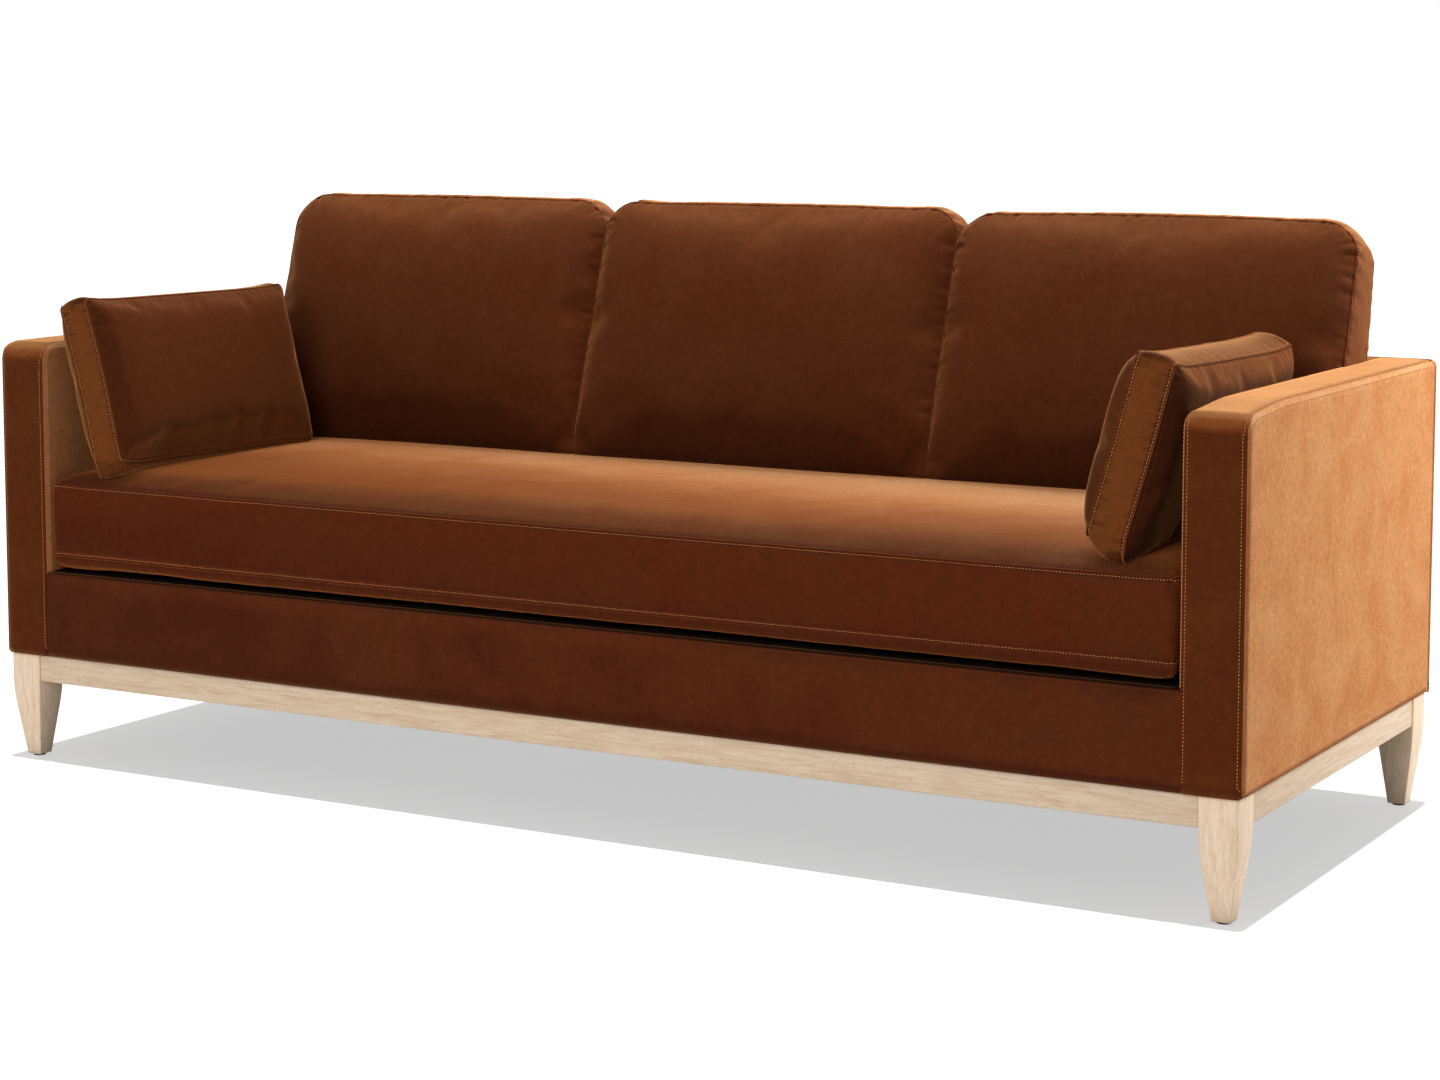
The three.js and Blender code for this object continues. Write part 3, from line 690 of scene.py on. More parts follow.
def addStitches(name, rows, body):
    parts = []
    for points, closed in rows:
        data = bpy.data.curves.new(name, "CURVE")
        data.dimensions = "3D"
        spline = data.splines.new("POLY")
        spline.points.add(len(points) - 1)
        for point, spot in zip(spline.points, points):
            point.co = (*spot, 1)
        spline.use_cyclic_u = closed
        path = addObject(name + "_path", data)
        bead = bmesh.new()
        size = Matrix.Diagonal((stitchLook["length"], stitchLook["thick"], stitchLook["thick"], 1))
        place = Matrix.Translation((stitchLook["pitch"] / 2, 0, 0)) @ size
        bmesh.ops.create_icosphere(bead, subdivisions=1, radius=0.5, matrix=place)
        mesh = bpy.data.meshes.new(name + "_bead")
        bead.to_mesh(mesh)
        bead.free()
        part = addObject(name + "_part", mesh)
        array = part.modifiers.new("Array", "ARRAY")
        array.fit_type = "FIT_CURVE"
        array.curve = path
        array.use_relative_offset = False
        array.use_constant_offset = True
        array.constant_offset_displace = (stitchLook["pitch"], 0, 0)
        follow = part.modifiers.new("Curve", "CURVE")
        follow.object = path
        parts.append((part, path))
    bpy.context.view_layer.update()
    graph = bpy.context.evaluated_depsgraph_get()
    bm = bmesh.new()
    for part, _ in parts:
        evaluated = part.evaluated_get(graph)
        bm.from_mesh(evaluated.to_mesh())
        evaluated.to_mesh_clear()
    for part, path in parts:
        bpy.data.objects.remove(part)
        bpy.data.objects.remove(path)
    makePiece(name, bm, thread, body)


# Cushions: boxed covers, two crowned faces with a band sewn between them, filled and drawn in. An edge is how
# steeply a face rises to its crown there, and how much of the crown is a dome right across it. The near edge
# is the one at the foot of the front face, the far edge the one at its top.
plainCushion = {
    "standing": False, "longer": (0, 0), "taller": 0, "offArm": 0, "inward": 0, "lift": 0, "arch": 0,
    "sag": 0, "sagRun": 1, "tuck": 0, "tuckReach": 1, "unevenSize": 250 * mm, "restGap": 0.4 * mm,
    "sideGap": 0.6 * mm,
}


def wholeSize(size):
    edges = {name: size["nearEdge"] for name in ("farEdge", "sideEdge", "rearEdge")}
    shared = {"topBand": size["band"], "footCorner": size["corner"], "topSwell": size["swell"]}
    return {**plainCushion, **edges, **shared, **size}


def roundedPlan(x, y, halfX, halfY, radius):
    overX = abs(x) - (halfX - radius)
    overY = abs(y) - (halfY - radius)
    if overX > 0 and overY > 0:
        a, b = overX / radius, overY / radius
        overX = radius * a * math.sqrt(1 - b * b / 2)
        overY = radius * b * math.sqrt(1 - a * a / 2)
        return math.copysign(halfX - radius + overX, x), math.copysign(halfY - radius + overY, y)
    return x, y


def crownShare(depth, steep, dome):
    flat = 1 - min(1, max(0, depth))
    return (1 - dome) * (1 - flat ** steep) + dome * (1 - flat ** 2)


def tucked(place, half, size):
    depth = half - abs(place)
    share = size["tuck"] * math.exp(-(depth / size["tuckReach"]) ** 2)
    return math.copysign(half - depth * (1 - share), place)


def boxedCushion(size, seed):
    width, height, step = size["width"], size["height"], size["step"]
    halfX, halfY = width / 2, height / 2
    columns, rows = round(width / step), round(height / step)
    bm = bmesh.new()
    panel = bm.faces.layers.int.new("panel")
    bmesh.ops.create_grid(bm, x_segments=columns, y_segments=rows, size=1)
    for vert in bm.verts:
        vert.co.z = 1
    copied = bmesh.ops.duplicate(bm, geom=bm.verts[:] + bm.edges[:] + bm.faces[:])["geom"]
    for item in copied:
        if isinstance(item, bmesh.types.BMVert):
            item.co.z = -1
    bmesh.ops.reverse_faces(bm, faces=[item for item in copied if isinstance(item, bmesh.types.BMFace)])
    border = [edge for edge in bm.edges if edge.is_boundary]
    for edge in border:
        edge.seam = True
    bridged = bmesh.ops.bridge_loops(bm, edges=border)
    for face in bridged["faces"]:
        face[panel] = 1
    bandCuts = max(1, round(size["band"] / step)) - 1
    bmesh.ops.subdivide_edges(bm, edges=bridged["edges"], cuts=bandCuts, use_grid_fill=True)
    bmesh.ops.recalc_face_normals(bm, faces=bm.faces)

    narrow = min(halfX, halfY)
    lift, unevenSize = size["lift"], size["unevenSize"]
    for vert in bm.verts:
        shareX, shareY, through = vert.co
        front, top = through > 0, shareY > 0
        x, y = roundedPlan(
            shareX * halfX, shareY * halfY, halfX, halfY, size["corner"] if top else size["footCorner"],
        )
        pullX = size["pull"] * (1 - shareY ** 2) * shareX ** 3
        pullY = 0 if size["standing"] else size["pull"] * (1 - shareX ** 2) * shareY ** 3
        band = size["topBand"] + (size["band"] - size["topBand"]) * (1 - shareY) / 2
        edgeX, edgeY = size["rearEdge"], size["rearEdge"]
        if front:
            edgeX, edgeY = size["sideEdge"], size["farEdge"] if top else size["nearEdge"]
        full = crownShare((halfX - abs(x)) / narrow, *edgeX) * crownShare((halfY - abs(y)) / narrow, *edgeY)
        if through < -0.999:
            x, y = tucked(x, halfX, size), tucked(y, halfY, size)
        swell = size["swell"] * (1 - through ** 2)
        swellY = size["topSwell" if top else "swell"] * (1 - through ** 2)
        crown = math.copysign(size["crown"] if front else size["rearCrown"], through)
        crown += noise.noise(Vector((x / unevenSize, y / unevenSize, seed + through))) * size["uneven"]
        fall = size["arch"] * shareX ** 2 * max(0, shareY) ** 3
        fall += abs(lift) * (1 + math.copysign(shareX, shareX * lift)) / 2 * max(0, shareY)
        vert.co = Vector((
            x - pullX + math.copysign(swell, x) * abs(shareX) ** 8,
            y - pullY + math.copysign(swellY, y) * abs(shareY) ** 8 - fall,
            through * band / 2 + crown * full * abs(through) ** 9,
        ))
    return bm


def inflate(piece, cloth):
    scene = bpy.context.scene
    mesh = piece.data
    start = [vert.co.copy() for vert in mesh.vertices]
    sewn = {index for edge in mesh.edges if edge.use_seam for index in edge.vertices}
    group = piece.vertex_groups.new(name="sewn")
    group.add(sorted(sewn), 1.0, "REPLACE")
    modifier = piece.modifiers.new("Cloth", "CLOTH")
    settings = modifier.settings
    settings.quality = 6
    settings.mass = 0.3
    settings.tension_stiffness = cloth["stretch"]
    settings.compression_stiffness = cloth["stretch"]
    settings.shear_stiffness = cloth["shear"]
    settings.bending_stiffness = cloth["bending"]
    settings.air_damping = 4
    settings.use_pressure = True
    settings.uniform_pressure_force = cloth["pressure"]
    settings.vertex_group_shrink = "sewn"
    settings.shrink_min = -cloth["ease"]
    settings.shrink_max = cloth["seamDraw"]
    settings.effector_weights.gravity = 0
    modifier.collision_settings.use_collision = False
    modifier.point_cache.frame_start = 1
    modifier.point_cache.frame_end = cloth["frames"]
    for number in range(1, cloth["frames"] + 1):
        scene.frame_set(number)
    graph = bpy.context.evaluated_depsgraph_get()
    evaluated = piece.evaluated_get(graph)
    end = [vert.co.copy() for vert in evaluated.data.vertices]
    piece.modifiers.remove(modifier)
    piece.vertex_groups.remove(group)
    scene.frame_set(1)
    drift = sum((b - a for a, b in zip(start, end)), Vector()) / len(start)
    for vert, a, b in zip(mesh.vertices, start, end):
        move = b - a - drift
        if move.length > cloth["cap"]:
            move *= cloth["cap"] / move.length
        vert.co = a + move


def subdivide(piece, levels=1):
    modifier = piece.modifiers.new("Subdivision", "SUBSURF")
    modifier.levels = levels
    modifier.render_levels = levels
    graph = bpy.context.evaluated_depsgraph_get()
    mesh = bpy.data.meshes.new_from_object(piece.evaluated_get(graph))
    piece.modifiers.remove(modifier)
    old = piece.data
    piece.data = mesh
    bpy.data.meshes.remove(old)


def fitBetween(piece, low, high):
    start, end = extent(vert.co for vert in piece.data.vertices)
    scale = [(high[i] - low[i]) / (end[i] - start[i]) for i in range(3)]
    piece.data.transform(Matrix.Translation(low) @ Matrix.Diagonal((*scale, 1)) @ Matrix.Translation(-start))


def clearOf(piece, others, gap, within=40 * mm):
    for other in others:
        tree = surfaceOf(other)
        for vert in piece.data.vertices:
            spot, normal, _, _ = tree.find_nearest(vert.co, within)
            if spot is None:
                continue
            clear = (vert.co - spot).dot(normal)
            if clear < gap:
                vert.co += normal * (gap - clear)


# A cushion takes up the room between its underside and what it rests on
def settleOn(piece, base, most, reach, gap, smoothings=6):
    own, under = surfaceOf(piece), surfaceOf(base)
    mesh = piece.data
    moves = [0.0] * len(mesh.vertices)
    for vert in mesh.vertices:
        underside = own.ray_cast(Vector((vert.co.x, vert.co.y, 0)), Vector((0, 0, 1)))[0]
        top = under.ray_cast(Vector((vert.co.x, vert.co.y, 2)), Vector((0, 0, -1)))[0]
        if underside is None or top is None:
            continue
        room = underside.z - top.z - gap
        share = 1 - smoothStep((vert.co.z - underside.z) / reach)
        moves[vert.index] = room * share * (1 - smoothStep(room / most - 1))
    for _ in range(smoothings):
        sums, counts = moves[:], [1] * len(moves)
        for edge in mesh.edges:
            a, b = edge.vertices
            sums[a] += moves[b]
            sums[b] += moves[a]
            counts[a] += 1
            counts[b] += 1
        moves = [total / count for total, count in zip(sums, counts)]
    for vert, move in zip(mesh.vertices, moves):
        vert.co.z -= move


# Cushions that stand side by side press each other's side bands flat, and an end band bulges freely
def pressSides(piece, low, high, size, bulges, bins=24):
    mesh = piece.data
    middle = (low.x + high.x) / 2
    straight = (low.y + size["footCorner"], high.y - size["corner"])
    widest = {side: [0.0] * (bins + 1) for side in (-1, 1)}
    for edge in mesh.edges:
        if edge.use_seam:
            spot = mesh.vertices[edge.vertices[0]].co
            share = (spot.y - straight[0]) / (straight[1] - straight[0])
            if 0 <= share <= 1:
                side = 1 if spot.x > middle else -1
                number = round(share * bins)
                widest[side][number] = max(widest[side][number], abs(spot.x - middle))
    full = (high.x - low.x) / 2 + size["press"]
    for vert in mesh.vertices:
        side = 1 if vert.co.x > middle else -1
        share = min(1, max(0, (vert.co.y - straight[0]) / (straight[1] - straight[0]))) * bins
        first = min(bins - 1, int(share))
        reach = widest[side][first] + (widest[side][first + 1] - widest[side][first]) * (share - first)
        away = abs(vert.co.x - middle) * full / reach
        fade = smoothStep((high.y - vert.co.y) / size["bulgeFade"] - size["bulgeStart"])
        most = full + bulges.get(side, 0) * fade
        if away > full:
            away = full + (most - full) * math.tanh((away - full) / max(most - full, tiny))
        vert.co.x = middle + side * away


def makeCushion(node, size, turn, cloth, cover, seam, seed, against=(), bulges=None):
    size = wholeSize(size)
    low, high = extent(turn.inverted() @ vert.co for vert in frame["nodes"][node].data.vertices)
    low.x -= size["longer"][0]
    high.x += size["longer"][1]
    high.y += size["taller"]
    low.z += size["offArm"]
    high.z += size["inward"]
    size["width"] = high.x - low.x - 2 * size["swell"]
    size["height"] = high.y - low.y - size["swell"] - size["topSwell"]
    body = frame["nodes"][node]["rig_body"]
    piece = makePiece(node + "_cover", boxedCushion(size, seed), cover, body, [node])
    inflate(piece, cloth)
    subdivide(piece)
    fitBetween(piece, low, high)
    for vert in piece.data.vertices:
        share = 1 - smoothStep((vert.co.y - low.y) / size["sagRun"])
        vert.co.z -= size["sag"] * share * smoothStep((high.z - vert.co.z) / (high.z - low.z) * 2 - 1)
    if "press" in size:
        pressSides(piece, low, high, size, bulges)
    piece.data.transform(turn.to_4x4())
    if against:
        settleOn(piece, against[0], size["most"], size["reach"], size["restGap"])
    clearOf(piece, against, size["sideGap"])
    rows = sewSeams(piece, seam, seed)
    addStitches(node + "_stitching", rows, body)
    print(node, "made with", len(piece.data.polygons), "faces")
    return piece


cushionCloth = {
    "stretch": 40, "shear": 12, "bending": 0.6, "pressure": 3.5,
    "ease": 0.012, "seamDraw": 0.004, "frames": 20, "cap": 12 * mm, "fill": 0.7,
}
cushionSeam = {
    **plainSeam, "fine": 24 * mm, "depth": 1.8 * mm, "grooveWidth": 1.3 * mm, "lip": 1.1 * mm,
    "gatherPitch": 9 * mm, "gatherReach": 17 * mm, "gather": 2.2 * mm, "cornerReach": 1.2,
    "cornerGather": 1.6, "stitchOffset": 4.5 * mm, "stitchLift": 0.4 * mm,
}

# Arms: padded boxes, a band over the front and top, and a side panel sewn to each edge of it
arm = {
    "frontRound": 30 * mm,
    "frontSegments": 8,
    "edgeRound": 8 * mm,
    "edgeSegments": 4,
    "panelCuts": (3 * mm, 5 * mm, 8 * mm),
    "cuts": {"y": 16 * mm, "z": 16 * mm},
    "bandCut": 10 * mm,
    "frontDrop": {"left": 1 * mm, "right": 9 * mm},
    "dropRun": 150 * mm,
    "dropHeight": 60 * mm,
    "rearRound": 12 * mm,
    "roundCut": 3 * mm,
    "inward": 10 * mm,
    "pad": 2.2 * mm,
    "padShare": 0.6,
    "panelFrom": 0.9,
    "panelPad": 2 * mm,
    "panelRun": 14 * mm,
}
armSeam = {
    **plainSeam, "depth": 1.4 * mm, "grooveWidth": 1.5 * mm, "lip": 0.6 * mm, "gatherPitch": 40 * mm,
    "gatherReach": 25 * mm, "gather": 0.5 * mm, "stitchOffset": 6 * mm, "panelOffset": 8 * mm,
    "stitchSides": (1, 0),
}


# Rounds off the top corner that lies beyond two planes, one of them level
def roundCorner(bm, axis, start, side, top):
    radius = arm["rearRound"]
    along = "xyz".index(axis)
    for vert in bm.verts:
        a, b = (vert.co[along] - start) * side / radius, (vert.co.z - top) / radius
        if a > 0 and b > 0:
            vert.co[along] += side * radius * a * (math.sqrt(max(0, 1 - b * b / 2)) - 1)
            vert.co.z += radius * b * (math.sqrt(max(0, 1 - a * a / 2)) - 1)


def makeArm(sideName, sign):
    node = f"{sideName}_arm_cover"
    low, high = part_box(node)
    low.x -= arm["inward"] if sideName == "right" else 0
    high.x += arm["inward"] if sideName == "left" else 0
    frontDrop = arm["frontDrop"][sideName]
    bm = blockBetween(low, high)
    panel = bm.faces.layers.int.new("panel")
    topFront = [edge for edge in bm.edges if liesAt(edge, y=low.y, z=high.z)]
    bevelEdges(bm, topFront, arm["frontRound"], arm["frontSegments"])
    sides = [face for face in bm.faces if abs(face.normal.x) > 0.99]
    outline = sorted({edge for face in sides for edge in face.edges}, key=lambda edge: edge.index)
    bevelEdges(bm, outline, arm["edgeRound"], arm["edgeSegments"])
    seamInset = arm["edgeRound"] * (1 - math.cos(math.pi / 4))
    for edge in bm.edges:
        for plane in (low.x + seamInset, high.x - seamInset):
            if all(abs(v.co.x - plane) < 0.05 * mm for v in edge.verts):
                edge.seam = True
    bm.normal_update()
    middle = (low.x + high.x) / 2
    for face in bm.faces:
        away = abs(face.calc_center_median().x - middle)
        face[panel] = 0 if away > (high.x - low.x) / 2 - seamInset else 1
    for thickness in arm["panelCuts"]:
        sides = [face for face in bm.faces if abs(face.normal.x) > 0.999 and len(face.edges) > 4]
        bmesh.ops.inset_region(bm, faces=sides, thickness=thickness, use_even_offset=True)
    cutEvery(bm, "x", low.x + arm["edgeRound"], high.x - arm["edgeRound"], arm["bandCut"])
    cutAll(bm, low, high, arm["cuts"])
    cutEvery(bm, "y", high.y - arm["rearRound"], high.y, arm["roundCut"])
    cutEvery(bm, "z", high.z - arm["rearRound"], high.z, arm["roundCut"])

    size = high - low
    for vert in bm.verts:
        across = abs(vert.co.x - middle) / (size.x / 2)
        fromFront = vert.co.y - low.y
        fromTop = high.z - vert.co.z
        if fromTop < arm["dropHeight"]:
            drop = frontDrop * (1 - smoothStep(fromFront / arm["dropRun"]))
            vert.co.z -= drop * (1 - fromTop / arm["dropHeight"])
        inside = min(fromFront, fromTop, high.y - vert.co.y)
        if across > arm["panelFrom"]:
            fullness = smoothStep(inside / arm["panelRun"]) * arm["panelPad"]
            if high.y - vert.co.y < arm["edgeRound"]:
                fullness += size.x / 2 - abs(vert.co.x - middle)
            vert.co.x += math.copysign(fullness, vert.co.x - middle)
        else:
            crown = (1 - across ** 2) * arm["pad"]
            if fromTop < 1 * mm + frontDrop:
                vert.co.z += crown * arm["padShare"]
            elif fromFront < 1 * mm:
                vert.co.y -= crown * arm["padShare"]
    roundCorner(bm, "y", high.y - arm["rearRound"], 1, high.z - arm["rearRound"])
    piece = makePiece(f"{sideName}_arm_upholstery", bm, armCloth, "root", [node])
    # The side panels take the lighter cloth with its painted light, and the inner panels the cloth painted as
    # lit from the left
    piece.data.materials.append(sideCloth)
    piece.data.materials.append(innerCloth)
    for face in piece.data.polygons:
        away = (face.center.x - middle) * sign
        face.material_index = 0 if abs(away) < size.x / 2 - seamInset else 1 if away > 0 else 2
    rows = sewSeams(piece, armSeam, 3 + sign)
    addStitches(f"{sideName}_arm_stitching", rows, "root")
    print(node, "upholstered")
    return piece


armPieces = {name: makeArm(name, sign) for name, sign in (("left", -1), ("right", 1))}


# Inside back: its solid, merged and cut finely so that the velvet shades evenly
insideCuts = {"x": 30 * mm, "z": 25 * mm}


def makeInsideBack():
    node = "inside_back_cover"
    bm = bmesh.new()
    bm.from_mesh(frame["nodes"][node].data)
    bmesh.ops.remove_doubles(bm, verts=bm.verts, dist=0.01 * mm)
    bmesh.ops.dissolve_limit(bm, angle_limit=math.radians(1), verts=bm.verts, edges=bm.edges)
    low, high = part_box(node)
    cutAll(bm, low, high, insideCuts)
    bm.normal_update()
    piece = makePiece("inside_back_upholstery", bm, velvetCloth, "root", [node])
    return piece


insideBack = makeInsideBack()

# Front border: padded, its top edge a little lower in front of the deck
border = {
    "topRound": 8 * mm, "roundSegments": 6, "cuts": {"x": 24 * mm, "z": 12 * mm}, "pad": 3 * mm,
    "padRun": 30 * mm, "waviness": 0.8 * mm, "deckFrom": 15 * mm, "fall": 2.5 * mm,
}


def makeBorder():
    low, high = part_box("front_border")
    bm = blockBetween(low, high)
    rounded = [edge for edge in bm.edges if liesAt(edge, y=low.y) and not liesAt(edge, z=low.z)]
    bevelEdges(bm, rounded, border["topRound"], border["roundSegments"])
    cutAll(bm, low, high, border["cuts"])
    bm.normal_update()
    for vert in bm.verts:
        if vert.co.y < low.y + 1 * mm:
            inside = min(vert.co.x - low.x, high.x - vert.co.x, high.z - vert.co.z, 2 * (vert.co.z - low.z))
            wave = noise.noise(Vector((vert.co.x * 5, 0, vert.co.z * 12))) * border["waviness"]
            vert.co.y -= smoothStep(inside / border["padRun"]) * (border["pad"] + wave) - border["pad"] / 2
        fromTop = high.z - vert.co.z
        if vert.co.y < low.y + border["deckFrom"] and fromTop < border["padRun"]:
            vert.co.z -= border["fall"] * (1 - fromTop / border["padRun"])
    piece = makePiece("front_border_upholstery", bm, borderCloth, "root", ["front_border"])
    # The border's top behind its front roll takes the near-black decking cloth: partly the decking sewn on
    # there, partly painted shade in the gap under the seat cushion
    piece.data.materials.append(deckCloth)
    for face in piece.data.polygons:
        face.material_index = int(face.center.y > low.y + border["deckFrom"])


makeBorder()

# Outside back: one panel, its top corners rounded like the arms' and its flanks in the side panels' cloth,
# with its painted light
outsideBack = {"edge": 4 * mm, "segments": 3, "cuts": {"x": 30 * mm, "z": 20 * mm}, "flankFacing": 0.3}


def makeOutsideBack():
    low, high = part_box("outside_back_panel")
    bm = blockBetween(low, high)
    back = [face for face in bm.faces if face.normal.y > 0.99]
    bevelEdges(bm, back[0].edges[:], outsideBack["edge"], outsideBack["segments"])
    cutAll(bm, low, high, outsideBack["cuts"])
    radius = arm["rearRound"]
    cutEvery(bm, "z", high.z - radius, high.z, arm["roundCut"])
    for edge, side in ((low.x, -1), (high.x, 1)):
        start = edge - side * radius
        cutEvery(bm, "x", min(edge, start), max(edge, start), arm["roundCut"])
        roundCorner(bm, "x", start, side, high.z - radius)
    piece = makePiece("outside_back_upholstery", bm, velvetCloth, "root", ["outside_back_panel"])
    piece.data.materials.append(sideCloth)
    for face in piece.data.polygons:
        face.material_index = int(abs(face.normal.x) > outsideBack["flankFacing"])


makeOutsideBack()

# Deck: the pad over the springs
deck = {"edge": 3 * mm, "segments": 2, "cuts": {"x": 40 * mm, "y": 40 * mm}}


def makeDeck():
    low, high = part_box("deck_pad")
    bm = blockBetween(low, high)
    level = [edge for edge in bm.edges if abs(edge.verts[0].co.z - edge.verts[1].co.z) < tiny]
    bevelEdges(bm, level, deck["edge"], deck["segments"])
    cutAll(bm, low, high, deck["cuts"])
    piece = makePiece("deck_upholstery", bm, deckCloth, "root", ["deck_pad"])


makeDeck()
print("upholstered body made")

# Seat cushion: its front sags over the border
seatSize = {
    "step": 14 * mm, "band": 130 * mm, "crown": 22 * mm, "rearCrown": 22 * mm, "nearEdge": (14, 0.45),
    "farEdge": (14, 0.15), "sideEdge": (16, 0.15), "rearEdge": (70, 0), "sag": 8 * mm, "sagRun": 60 * mm,
    "corner": 16 * mm, "tuck": 0.75, "tuckReach": 40 * mm, "pull": 1 * mm, "swell": 3 * mm,
    "uneven": 1.5 * mm, "longer": (-11 * mm, -11 * mm),
}
seatCushion = makeCushion(
    "seat_cushion", seatSize, Matrix.Identity(3), cushionCloth, seatCloth, cushionSeam, 1,
)

# Back cushions lean on the back. No two are stuffed alike.
backSize = {
    "step": 14 * mm, "band": 146 * mm, "topBand": 84 * mm, "crown": 42 * mm, "rearCrown": 6 * mm,
    "nearEdge": (5, 0.6), "footCorner": 14 * mm, "pull": 0, "swell": 2 * mm, "topSwell": 8 * mm,
    "standing": True, "uneven": 2.5 * mm, "most": 30 * mm, "reach": 90 * mm, "press": 1 * mm,
    "bulge": 9 * mm, "bulgeFade": 110 * mm, "bulgeStart": 0.25,
}
backStuffing = {
    "left": {"taller": 6 * mm, "corner": 66 * mm, "arch": 8 * mm},
    "center": {"taller": 4 * mm, "corner": 56 * mm, "arch": 8 * mm},
    "right": {"corner": 60 * mm, "arch": 13 * mm},
}
backLean = math.radians(14)
backTurn = Matrix.Rotation(math.pi / 2 - backLean, 3, "X")
backCloth = {**cushionCloth, "pressure": 4, "fill": 0.65}
backSeam = {
    **cushionSeam, "stitchOffset": 6 * mm, "gatherPitch": 12 * mm, "gatherReach": 24 * mm, "gather": 2.8 * mm,
    "plainBelow": 0.6,
}
for number, name in enumerate(("left", "center", "right")):
    ends = {} if name == "center" else {number - 1: backSize["bulge"]}
    beside = [] if name == "center" else [armPieces[name]]
    makeCushion(
        f"back_cushion_{name}", {**backSize, **backStuffing[name]}, backTurn, backCloth, backCushionCloth,
        backSeam, 11 + number, [seatCushion, insideBack, *beside], ends,
    )

# Bolsters lean on the arms
bolsterSize = {
    "step": 9 * mm, "band": 64 * mm, "crown": 35 * mm, "rearCrown": 24 * mm, "nearEdge": (6, 0.2),
    "corner": 16 * mm, "pull": 5 * mm, "offArm": 12 * mm, "inward": 14 * mm, "longer": (-12 * mm, 0),
    "lift": -8 * mm, "swell": 3 * mm, "topSwell": 5 * mm, "standing": True, "uneven": 2 * mm, "most": 20 * mm,
    "reach": 60 * mm,
}
bolsterStuffing = {
    "left": {
        "longer": (0, 22 * mm), "crown": 20 * mm, "rearCrown": 42 * mm, "taller": 6 * mm, "lift": 4 * mm,
        "inward": 15 * mm,
    },
    "right": {},
}
bolsterCloth = {**cushionCloth, "pressure": 5, "fill": 0.75, "cap": 8 * mm}
bolsterSeam = {
    **cushionSeam, "lip": 1.4 * mm, "gather": 1.2 * mm, "gatherReach": 14 * mm, "gatherPitch": 5 * mm,
    "bandGather": 0.6, "endGather": 1.5, "bandReach": 2.4,
}
bolsterLeans = {"left": math.radians(14.7), "right": math.radians(15.7)}
for name, sign in (("left", -1), ("right", 1)):
    lean = bolsterLeans[name]
    up = Vector((sign * math.sin(lean), 0, math.cos(lean)))
    inward = Vector((-sign * math.cos(lean), 0, math.sin(lean)))
    turn = Matrix((up.cross(inward), up, inward)).transposed()
    makeCushion(
        f"bolster_{name}", {**bolsterSize, **bolsterStuffing[name]}, turn, bolsterCloth, bolsterVelvets[name],
        bolsterSeam, 21 + sign, [seatCushion, armPieces[name]],
    )
print("cushions made")

# Base
leg = {
    "foot": 27.5 * mm, "edge": 1.6 * mm, "bendTop": 138 * mm, "bend": 112 * mm, "bendRun": 92 * mm,
    "cuts": {"z": 6 * mm}, "segments": 3,
}


def legWidth(height, foot, top):
    straight = leg["foot"] + (top - leg["foot"]) * (height - foot) / (leg["bend"] - foot)
    if height >= leg["bendTop"]:
        return top
    if height <= leg["bendRun"]:
        return straight
    share = (height - leg["bendRun"]) / (leg["bendTop"] - leg["bendRun"])
    start = leg["foot"] + (top - leg["foot"]) * (leg["bendRun"] - foot) / (leg["bend"] - foot)
    return (1 - share) ** 2 * start + (1 - (1 - share) ** 2) * top


def makeLeg(node):
    low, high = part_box(node)
    middle = (low + high) / 2
    width = high.x - low.x
    bm = blockBetween(low, high)
    cutAll(bm, low, high, leg["cuts"])
    for vert in bm.verts:
        share = legWidth(vert.co.z, low.z, width) / width
        vert.co.x = middle.x + (vert.co.x - middle.x) * share
        vert.co.y = middle.y + (vert.co.y - middle.y) * share
    bm.normal_update()
    corners = [e for e in bm.edges if e.calc_face_angle(0) > math.radians(60)]
    bevelEdges(bm, corners, leg["edge"], leg["segments"])
    makePiece(f"{node}_turned", bm, oakUpright, "root", [node])


for end in ("front", "back"):
    for side in ("left", "right"):
        makeLeg(f"leg_{end}_{side}")

apron = {"edge": 2 * mm, "segments": 3}


def makeApron(node, material):
    low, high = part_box(node)
    bm = blockBetween(low, high)
    bevelEdges(bm, bm.edges[:], apron["edge"], apron["segments"])
    makePiece(f"{node}_board", bm, material, "root", [node])


for side, oak in (("front", oakAlongX), ("back", oakAlongX), ("left", oakAlongY), ("right", oakAlongY)):
    makeApron(f"{side}_apron", oak)
print("base made")

# Carried-over solids get the finish of what they are made of, by how their names start
finishes = {
    "sinuous_spring": springSteel, "spring_tie": springSteel, "glide": glidePlastic, "dust_cover": dustCloth,
    "base_brace": oakAlongY,
}


def finishNodes():
    for name, node in frame["nodes"].items():
        material = next((finishes[start] for start in finishes if name.startswith(start)), frameWood)
        for part in node.material_slots:
            part.material = material


finishNodes()

# Studio
stage = {
    "floor": "aaaaaa", "size": 30, "glow": 0.545, "worldLevel": 0.3, "overhead": 4.6, "overheadAngle": 1.2,
}


def seenBy(tree):
    path = addNode(tree, "LightPath")
    reflected = addNode(
        tree, "Math", {"operation": "MAXIMUM"},
        {0: path.outputs["Is Glossy Ray"], 1: path.outputs["Is Transmission Ray"]},
    )
    return addNode(tree, "Math", {"operation": "MAXIMUM"}, {0: path.outputs["Is Camera Ray"], 1: reflected})


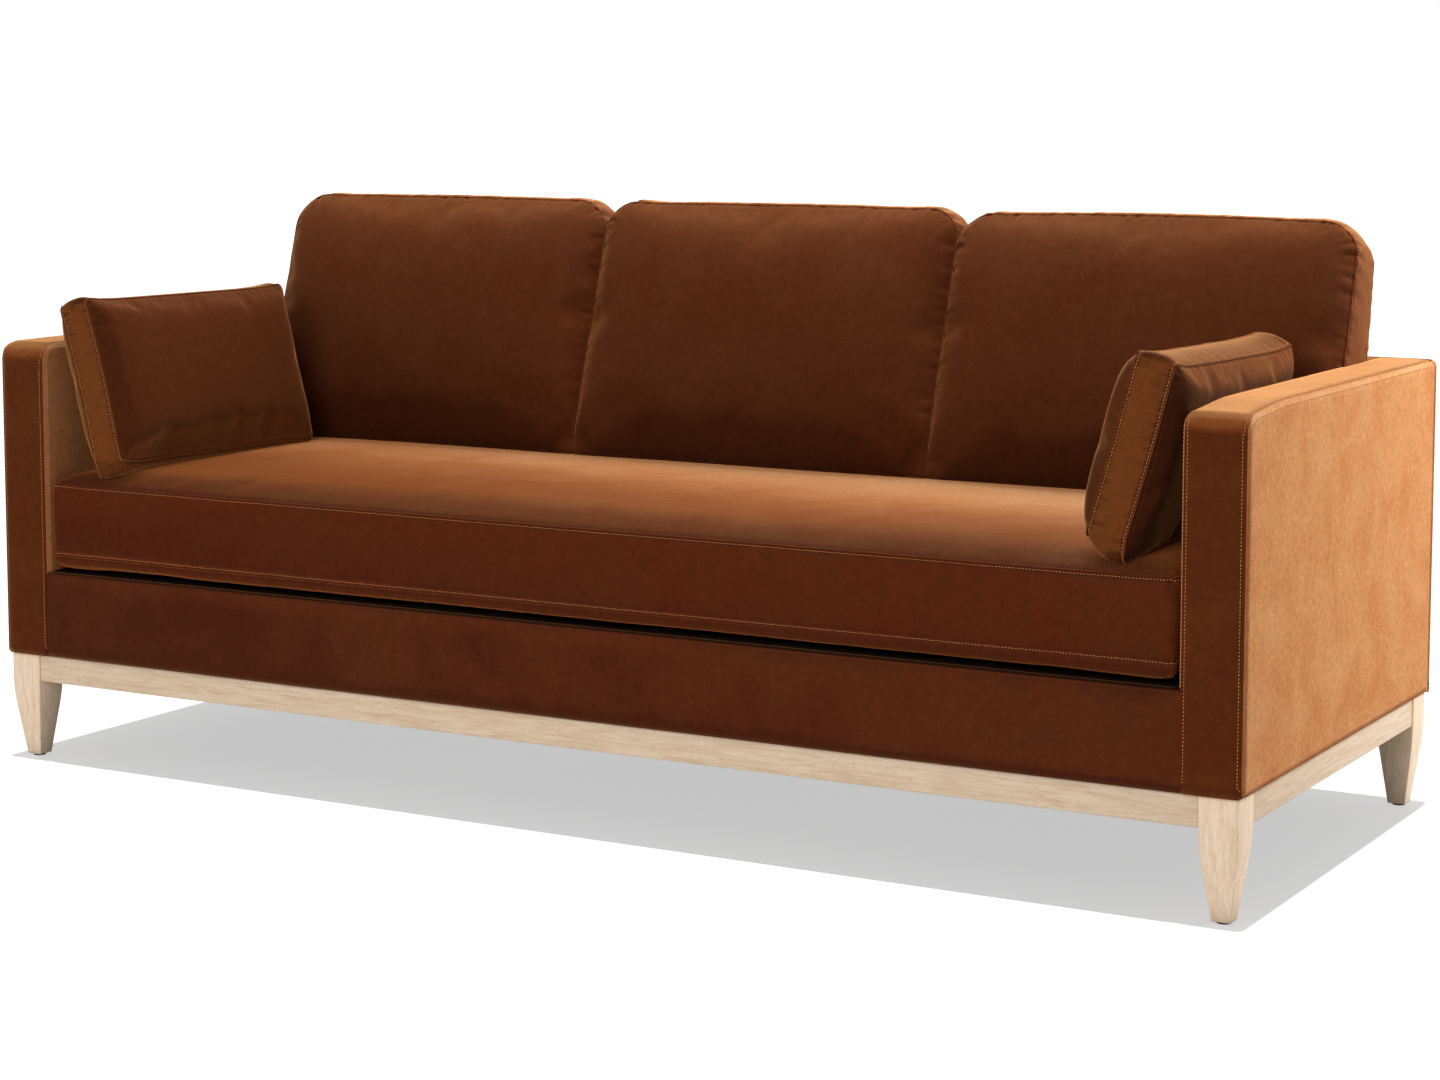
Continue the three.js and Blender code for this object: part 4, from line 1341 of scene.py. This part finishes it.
# The floor glows for the eye alone, up to white where no shadow falls
def makeStage():
    bm = bmesh.new()
    bmesh.ops.create_grid(bm, x_segments=1, y_segments=1, size=stage["size"])
    mesh = bpy.data.meshes.new("floor")
    bm.to_mesh(mesh)
    bm.free()
    floor = addObject("floor", mesh)
    material, tree = newMaterial("studio_floor")
    diffuse = addNode(tree, "BsdfDiffuse", {"Color": colour(stage["floor"])})
    level = addNode(tree, "Math", {"operation": "MULTIPLY", 1: stage["glow"]}, {0: seenBy(tree)})
    glow = addNode(tree, "Emission", links={"Strength": level})
    both = addNode(tree, "AddShader", links={0: diffuse, 1: glow})
    addNode(tree, "OutputMaterial", links={"Surface": both})
    mesh.materials.append(material)
    return floor


def makeWorld():
    world = bpy.data.worlds.new("studio")
    bpy.context.scene.world = world
    world.use_nodes = True
    tree = world.node_tree
    tree.nodes.clear()
    level = addNode(tree, "MapRange", {"To Min": stage["worldLevel"], "To Max": 1.0}, {"Value": seenBy(tree)})
    back = addNode(tree, "Background", {"Color": (1, 1, 1, 1)}, {"Strength": level})
    addNode(tree, "OutputWorld", links={"Surface": back})


# The overhead lamp lights the floor alone, and the softboxes light the sofa alone, so that the sofa's shadow
# on the floor stays plain and crisp while its cloth is lit softly
def linkLight(lamp, floor, state):
    linked = bpy.data.collections.new(lamp.name + "_receivers")
    linked.objects.link(floor)
    linked.collection_objects[0].light_linking.link_state = state
    lamp.light_linking.receiver_collection = linked


def addOverhead(floor):
    data = bpy.data.lights.new("overhead", "SUN")
    data.energy = stage["overhead"]
    data.angle = math.radians(stage["overheadAngle"])
    linkLight(addObject("overhead", data), floor, "INCLUDE")


softboxes = {
    "right_softbox": {"place": (2.4, 1.1, 1.35), "target": (0.3, 0, 0.5), "size": (0.9, 0.9), "power": 44},
    "front_softbox": {"place": (0.4, -4.2, 1.9), "target": (0, 0, 0.45), "size": (3.2, 1.8), "power": 92},
    "left_softbox": {"place": (-2.6, -2.2, 1.5), "target": (-0.6, 0, 0.6), "size": (1.2, 1.2), "power": 9},
    "back_softbox": {"place": (-0.6, 3.2, 2.6), "target": (0, 0, 0.6), "size": (2.6, 1.4), "power": 50},
    "overhead_softbox": {"place": (0.1, 1.0, 2.9), "target": (0, -0.1, 0.5), "size": (2.6, 1.0), "power": 55},
}


def addSoftbox(name, floor):
    box = softboxes[name]
    data = bpy.data.lights.new(name, "AREA")
    data.shape = "RECTANGLE"
    data.size, data.size_y = box["size"]
    data.energy = box["power"]
    lamp = addObject(name, data)
    lamp.location = box["place"]
    lamp.rotation_euler = (Vector(box["target"]) - lamp.location).to_track_quat("-Z", "Y").to_euler()
    linkLight(lamp, floor, "EXCLUDE")


stageFloor = makeStage()
makeWorld()
addOverhead(stageFloor)
for name in softboxes:
    addSoftbox(name, stageFloor)
bpy.context.scene.view_settings.view_transform = "Standard"
print("studio made")
